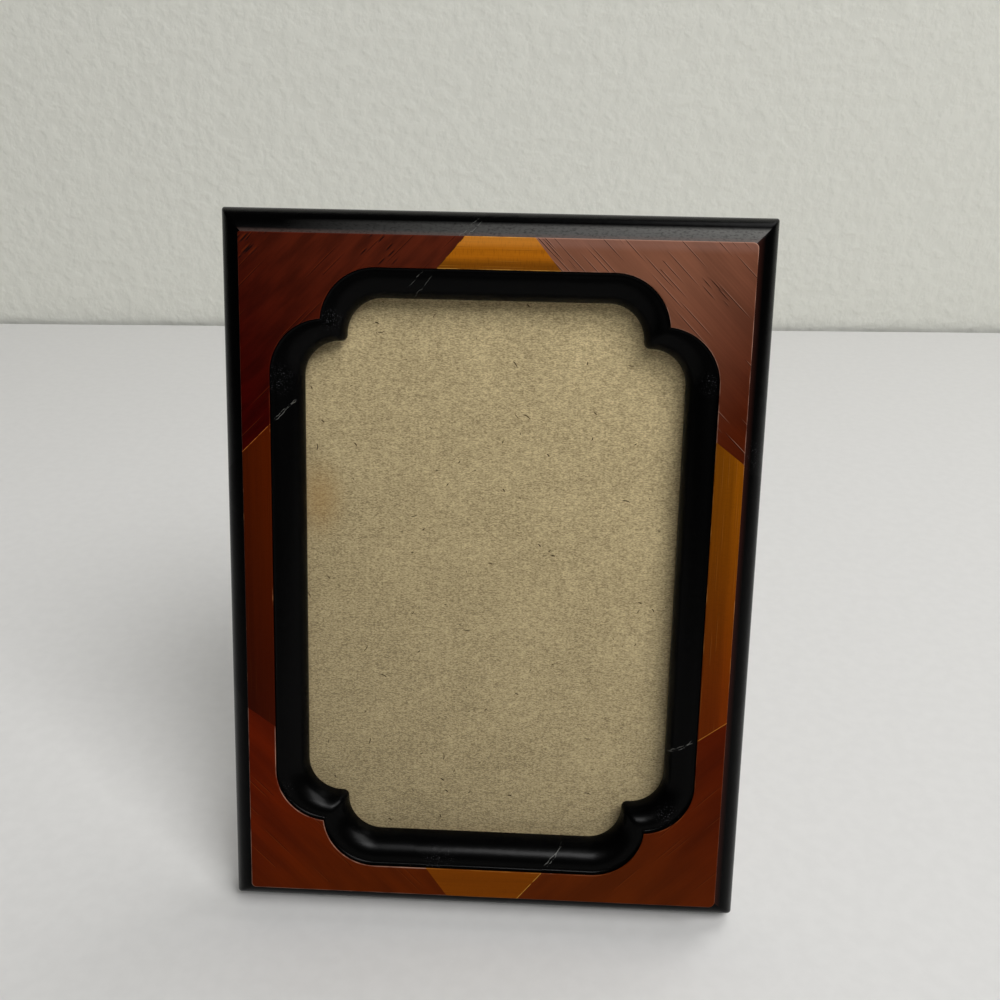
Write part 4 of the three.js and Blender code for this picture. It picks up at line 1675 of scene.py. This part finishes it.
@dataclass
class TurnButtons:
    """The four turn buttons that hold the board, and their slotted screws."""

    repeats: Repeats
    back: float = FRAME_BACK
    spot: Pair = (52.1, 44.3)
    reach: float = 10.6
    width: float = 7.0
    thickness: float = 1.0
    clearance: float = 0.3
    hole: float = 3.0
    ease: float = 0.25
    ease_steps: int = 4
    outline_steps: int = 40
    screw: float = 2.4
    screw_depth: float = 7.0
    screw_point: float = 1.6
    screw_head: Pair = (4.8, 1.5)
    screw_seed: int = 5
    slot_width: float = 0.7
    slot_depth: float = 0.75
    # Yellow plating gone dull, in soft patches
    brass: PlainStock = PlainStock(
        "dull_brass_plating",
        roughness=0.34,
        light="#c39a4c",
        dark="#a47d38",
        mottle=(1.2, 1.2, 1.2),
        metallic=1.0,
        relief=0.004,
    )

    def build(self) -> None:
        """Builds the buttons, each on its own body, and the screws."""
        brass = self.brass.material()
        for quarter in Quarter:
            self.button(quarter, brass)
        self.screws(brass)

    def button(self, quarter: Quarter, brass: Material) -> None:
        """Builds a stamped button with rolled edges and a hole for its screw."""
        half = self.width / 2
        turns = np.linspace(-math.pi / 2, math.pi / 2, self.outline_steps // 2)
        far = [(self.reach + half * math.cos(a), half * math.sin(a)) for a in turns]
        near = [(-half * math.cos(a), -half * math.sin(a)) for a in turns]
        outline = np.array(far + near)
        centre = np.clip(outline[:, :1], 0.0, self.reach) * (1.0, 0.0)
        outward = (outline - centre) / half
        bearing = np.arctan2(outline[:, 1], outline[:, 0])
        hole = self.hole / 2 * np.stack([np.cos(bearing), np.sin(bearing)], axis=1)
        front = self.back - self.clearance
        rear = front - self.thickness
        rows = [(hole, rear), (hole, front)]
        ease = np.linspace(0.0, math.pi / 2, self.ease_steps)
        for level, roll, angles in ((front, -self.ease, ease), (rear, self.ease, ease[::-1])):
            for angle in angles:
                inset = self.ease * (1.0 - math.sin(angle))
                rows.append((outline - outward * inset, level + roll * (1.0 - math.cos(angle))))
        flip = -quarter.value[0]
        spot = np.array(self.spot) * quarter.value
        loops = [np.column_stack([plan * flip + spot, np.full(len(plan), z)]) for plan, z in rows]
        node = f"turn_button_{quarter.label}"
        mesh = lofted(node, np.stack(loops, axis=1), closed=True)
        piece = finished(f"{node}_stamping", mesh, f"button_{quarter.label}", [brass])
        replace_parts(piece, node)

    def screws(self, brass: Material) -> None:
        """Builds the four screws, each with its slot at its own angle."""
        head, height = self.screw_head
        base = self.thickness + 2 * self.clearance
        profile = [(0.0, -self.screw_depth - self.screw_point), (self.screw / 2, -self.screw_depth)]
        profile += [(self.screw / 2, base)] + dome(head / 2, height, base)
        points, faces = turned(profile)
        pattern = bpy.data.meshes.new("screw")
        pattern.from_pydata(points * (1.0, 1.0, -1.0), [], faces)
        pattern = self.slotted(pattern, -(base + height))
        spots = bpy.data.meshes.new("screw spots")
        x, y = self.spot
        corners = [(x * quarter.value[0], y * quarter.value[1], self.back) for quarter in Quarter]
        spots.from_pydata(corners, [], [])
        values = {"Seed": self.screw_seed, "Turn": math.pi, "Finish": brass}
        mesh = self.repeats.made("button_screws", self.repeats.at_points, spots, pattern, values)
        screws = finished("button_screws", mesh, "frame", [brass])
        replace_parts(screws, *(f"button_screw_{quarter.label}" for quarter in Quarter))

    def slotted(self, pattern: Mesh, crown: float) -> Mesh:
        """Saws the slot into a screw's head, whose crown is at the given z."""
        length, width, depth = self.screw_head[0], self.slot_width / 2, self.slot_depth
        corners = [(x, y, z) for x in (-length, length) for y in (-width, width) for z in (-depth, depth)]
        saw_mesh = bpy.data.meshes.new("saw")
        sides = [(0, 1, 3, 2), (4, 6, 7, 5), (0, 4, 5, 1), (2, 3, 7, 6), (0, 2, 6, 4), (1, 5, 7, 3)]
        saw_mesh.from_pydata([(x, y, z + crown) for x, y, z in corners], [], sides)
        blank = bpy.data.objects.new("screw blank", pattern)
        saw = bpy.data.objects.new("saw", saw_mesh)
        for thing in (blank, saw):
            bpy.context.collection.objects.link(thing)
        cut = blank.modifiers.new("slot", "BOOLEAN")
        cut.object = saw
        seen = blank.evaluated_get(bpy.context.evaluated_depsgraph_get())
        slotted = bpy.data.meshes.new_from_object(seen)
        bpy.data.objects.remove(blank)
        bpy.data.objects.remove(saw)
        return slotted


@dataclass(frozen=True)
class Softbox:
    """A square lamp, placed round the object's middle: azimuth from the front towards the right.

    One that only shines shows in reflections and lights nothing else.
    """

    name: str
    azimuth: float
    elevation: float
    distance: float
    size: float
    power: float
    only_shine: bool = False

    def hang(self, middle: Vector) -> None:
        """Hangs the lamp, facing the object."""
        lamp = bpy.data.lights.new(self.name, "AREA")
        lamp.shape = "SQUARE"
        lamp.size = self.size
        lamp.energy = self.power
        away, up = math.radians(self.azimuth), math.radians(self.elevation)
        toward = Vector((math.sin(away) * math.cos(up), -math.cos(away) * math.cos(up), math.sin(up)))
        holder = bpy.data.objects.new(self.name, lamp)
        holder.visible_diffuse = not self.only_shine
        bpy.context.collection.objects.link(holder)
        facing = toward.to_track_quat("Z", "Y").to_matrix().to_4x4()
        holder.matrix_world = Matrix.Translation(middle + toward * self.distance) @ facing


@dataclass
class Studio:
    """The pale table and wall, the lamps and the camera."""

    floor_half: float = 1.6
    floor_front: float = -3.2
    wall_at: float = 0.446
    wall_turn: float = 3.2
    wall_foot: float = -0.1
    wall_height: float = 0.6
    wall_gap: float = 0.004
    # A smooth off-white satin
    table_paint: PlainStock = PlainStock(
        "white_table_paint", roughness=0.6, mirror=0.25, light="#dbdad8", dark="#d8d7d5", relief=0.0
    )
    # A greenish off-white over knobbly plaster
    wall_paint: PlainStock = PlainStock(
        "white_wall_paint",
        roughness=0.7,
        mirror=0.2,
        light="#dfdfd6",
        dark="#dcdcd3",
        mottle=(7.0, 7.0, 7.0),
        relief=0.35,
    )
    middle: Triple = (0.0, -0.015, 0.078)
    lamps: tuple[Softbox, ...] = (
        Softbox("key", azimuth=42.0, elevation=50.0, distance=3.2, size=1.6, power=74.0),
        Softbox("back", azimuth=130.0, elevation=55.0, distance=1.6, size=0.9, power=8.0),
        Softbox("window", azimuth=6.0, elevation=42.0, distance=1.2, size=0.35, power=3.1),
        Softbox("shine", azimuth=6.0, elevation=42.0, distance=1.3, size=0.4, power=7.0, only_shine=True),
    )
    ambient: str = "#101011"
    ambient_strength: float = 1.0
    focal_length: float = 38.22
    sensor: float = 36.0
    near_limit: float = 0.01
    camera_turn: Triple = (10.945, -2.158, -1.807)
    camera_shift: Triple = (-2.6, -18.98, -231.52)

    def build(self) -> None:
        """Builds the surroundings."""
        self.surfaces()
        self.light()
        self.camera()

    def surfaces(self) -> None:
        """Lays the table up to the wall, with the dark gap between them."""
        turn = Matrix.Rotation(math.radians(self.wall_turn), 3, "Z")
        foot = Vector((0.0, self.wall_at, 0.0))
        edge, front, rear = self.floor_half, self.floor_front, -self.wall_gap
        low, high = self.wall_foot, self.wall_height
        floor = [(-edge, front, 0.0), (edge, front, 0.0), (edge, rear, 0.0), (-edge, rear, 0.0)]
        wall = [(-edge, 0.0, low), (edge, 0.0, low), (edge, 0.0, high), (-edge, 0.0, high)]
        for name, corners, paint in (("table", floor, self.table_paint), ("wall", wall, self.wall_paint)):
            mesh = bpy.data.meshes.new(name)
            mesh.from_pydata([turn @ Vector(corner) + foot for corner in corners], [], [(0, 1, 2, 3)])
            points = np.array([vertex.co for vertex in mesh.vertices])
            store(mesh, "place", points / MM)
            mesh.materials.append(paint.material())
            sheet = bpy.data.objects.new(name, mesh)
            bpy.context.collection.objects.link(sheet)

    def light(self) -> None:
        """Lights the object from the front right, from above, with a dim room round it."""
        for lamp in self.lamps:
            lamp.hang(Vector(self.middle))
        world = bpy.data.worlds.new("room")
        world.use_nodes = True
        background = world.node_tree.nodes["Background"]
        background.inputs["Color"].default_value = linear(self.ambient)
        background.inputs["Strength"].default_value = self.ambient_strength
        bpy.context.scene.world = world

    def camera(self) -> None:
        """Sets the camera where the photograph was taken from."""
        lens = bpy.data.cameras.new("camera")
        lens.sensor_fit = "HORIZONTAL"
        lens.sensor_width = self.sensor
        lens.lens = self.focal_length
        lens.clip_start = self.near_limit
        holder = bpy.data.objects.new("camera", lens)
        bpy.context.collection.objects.link(holder)
        x, y, z = (math.radians(angle) for angle in self.camera_turn)
        turn = Matrix.Rotation(z, 4, "Z") @ Matrix.Rotation(y, 4, "Y") @ Matrix.Rotation(x, 4, "X")
        seen = Matrix.Translation(self.camera_shift) @ turn
        view = STANDING @ seen.inverted()
        position, rotation, _ = view.decompose()
        holder.matrix_world = Matrix.LocRotScale(position, rotation, None)
        bpy.context.scene.camera = holder


def main() -> None:
    """Builds the frame's sub-assemblies in order, then the studio."""
    logging.basicConfig(level=logging.INFO, format="%(message)s")
    repeats = Repeats()
    Segments(WoodFinishes()).build()
    PictureStack(repeats).build()
    EaselBack(repeats).build()
    TurnButtons(repeats).build()
    Studio().build()
    bpy.context.scene.view_settings.view_transform = "Standard"


if __name__ == "__main__":
    main()
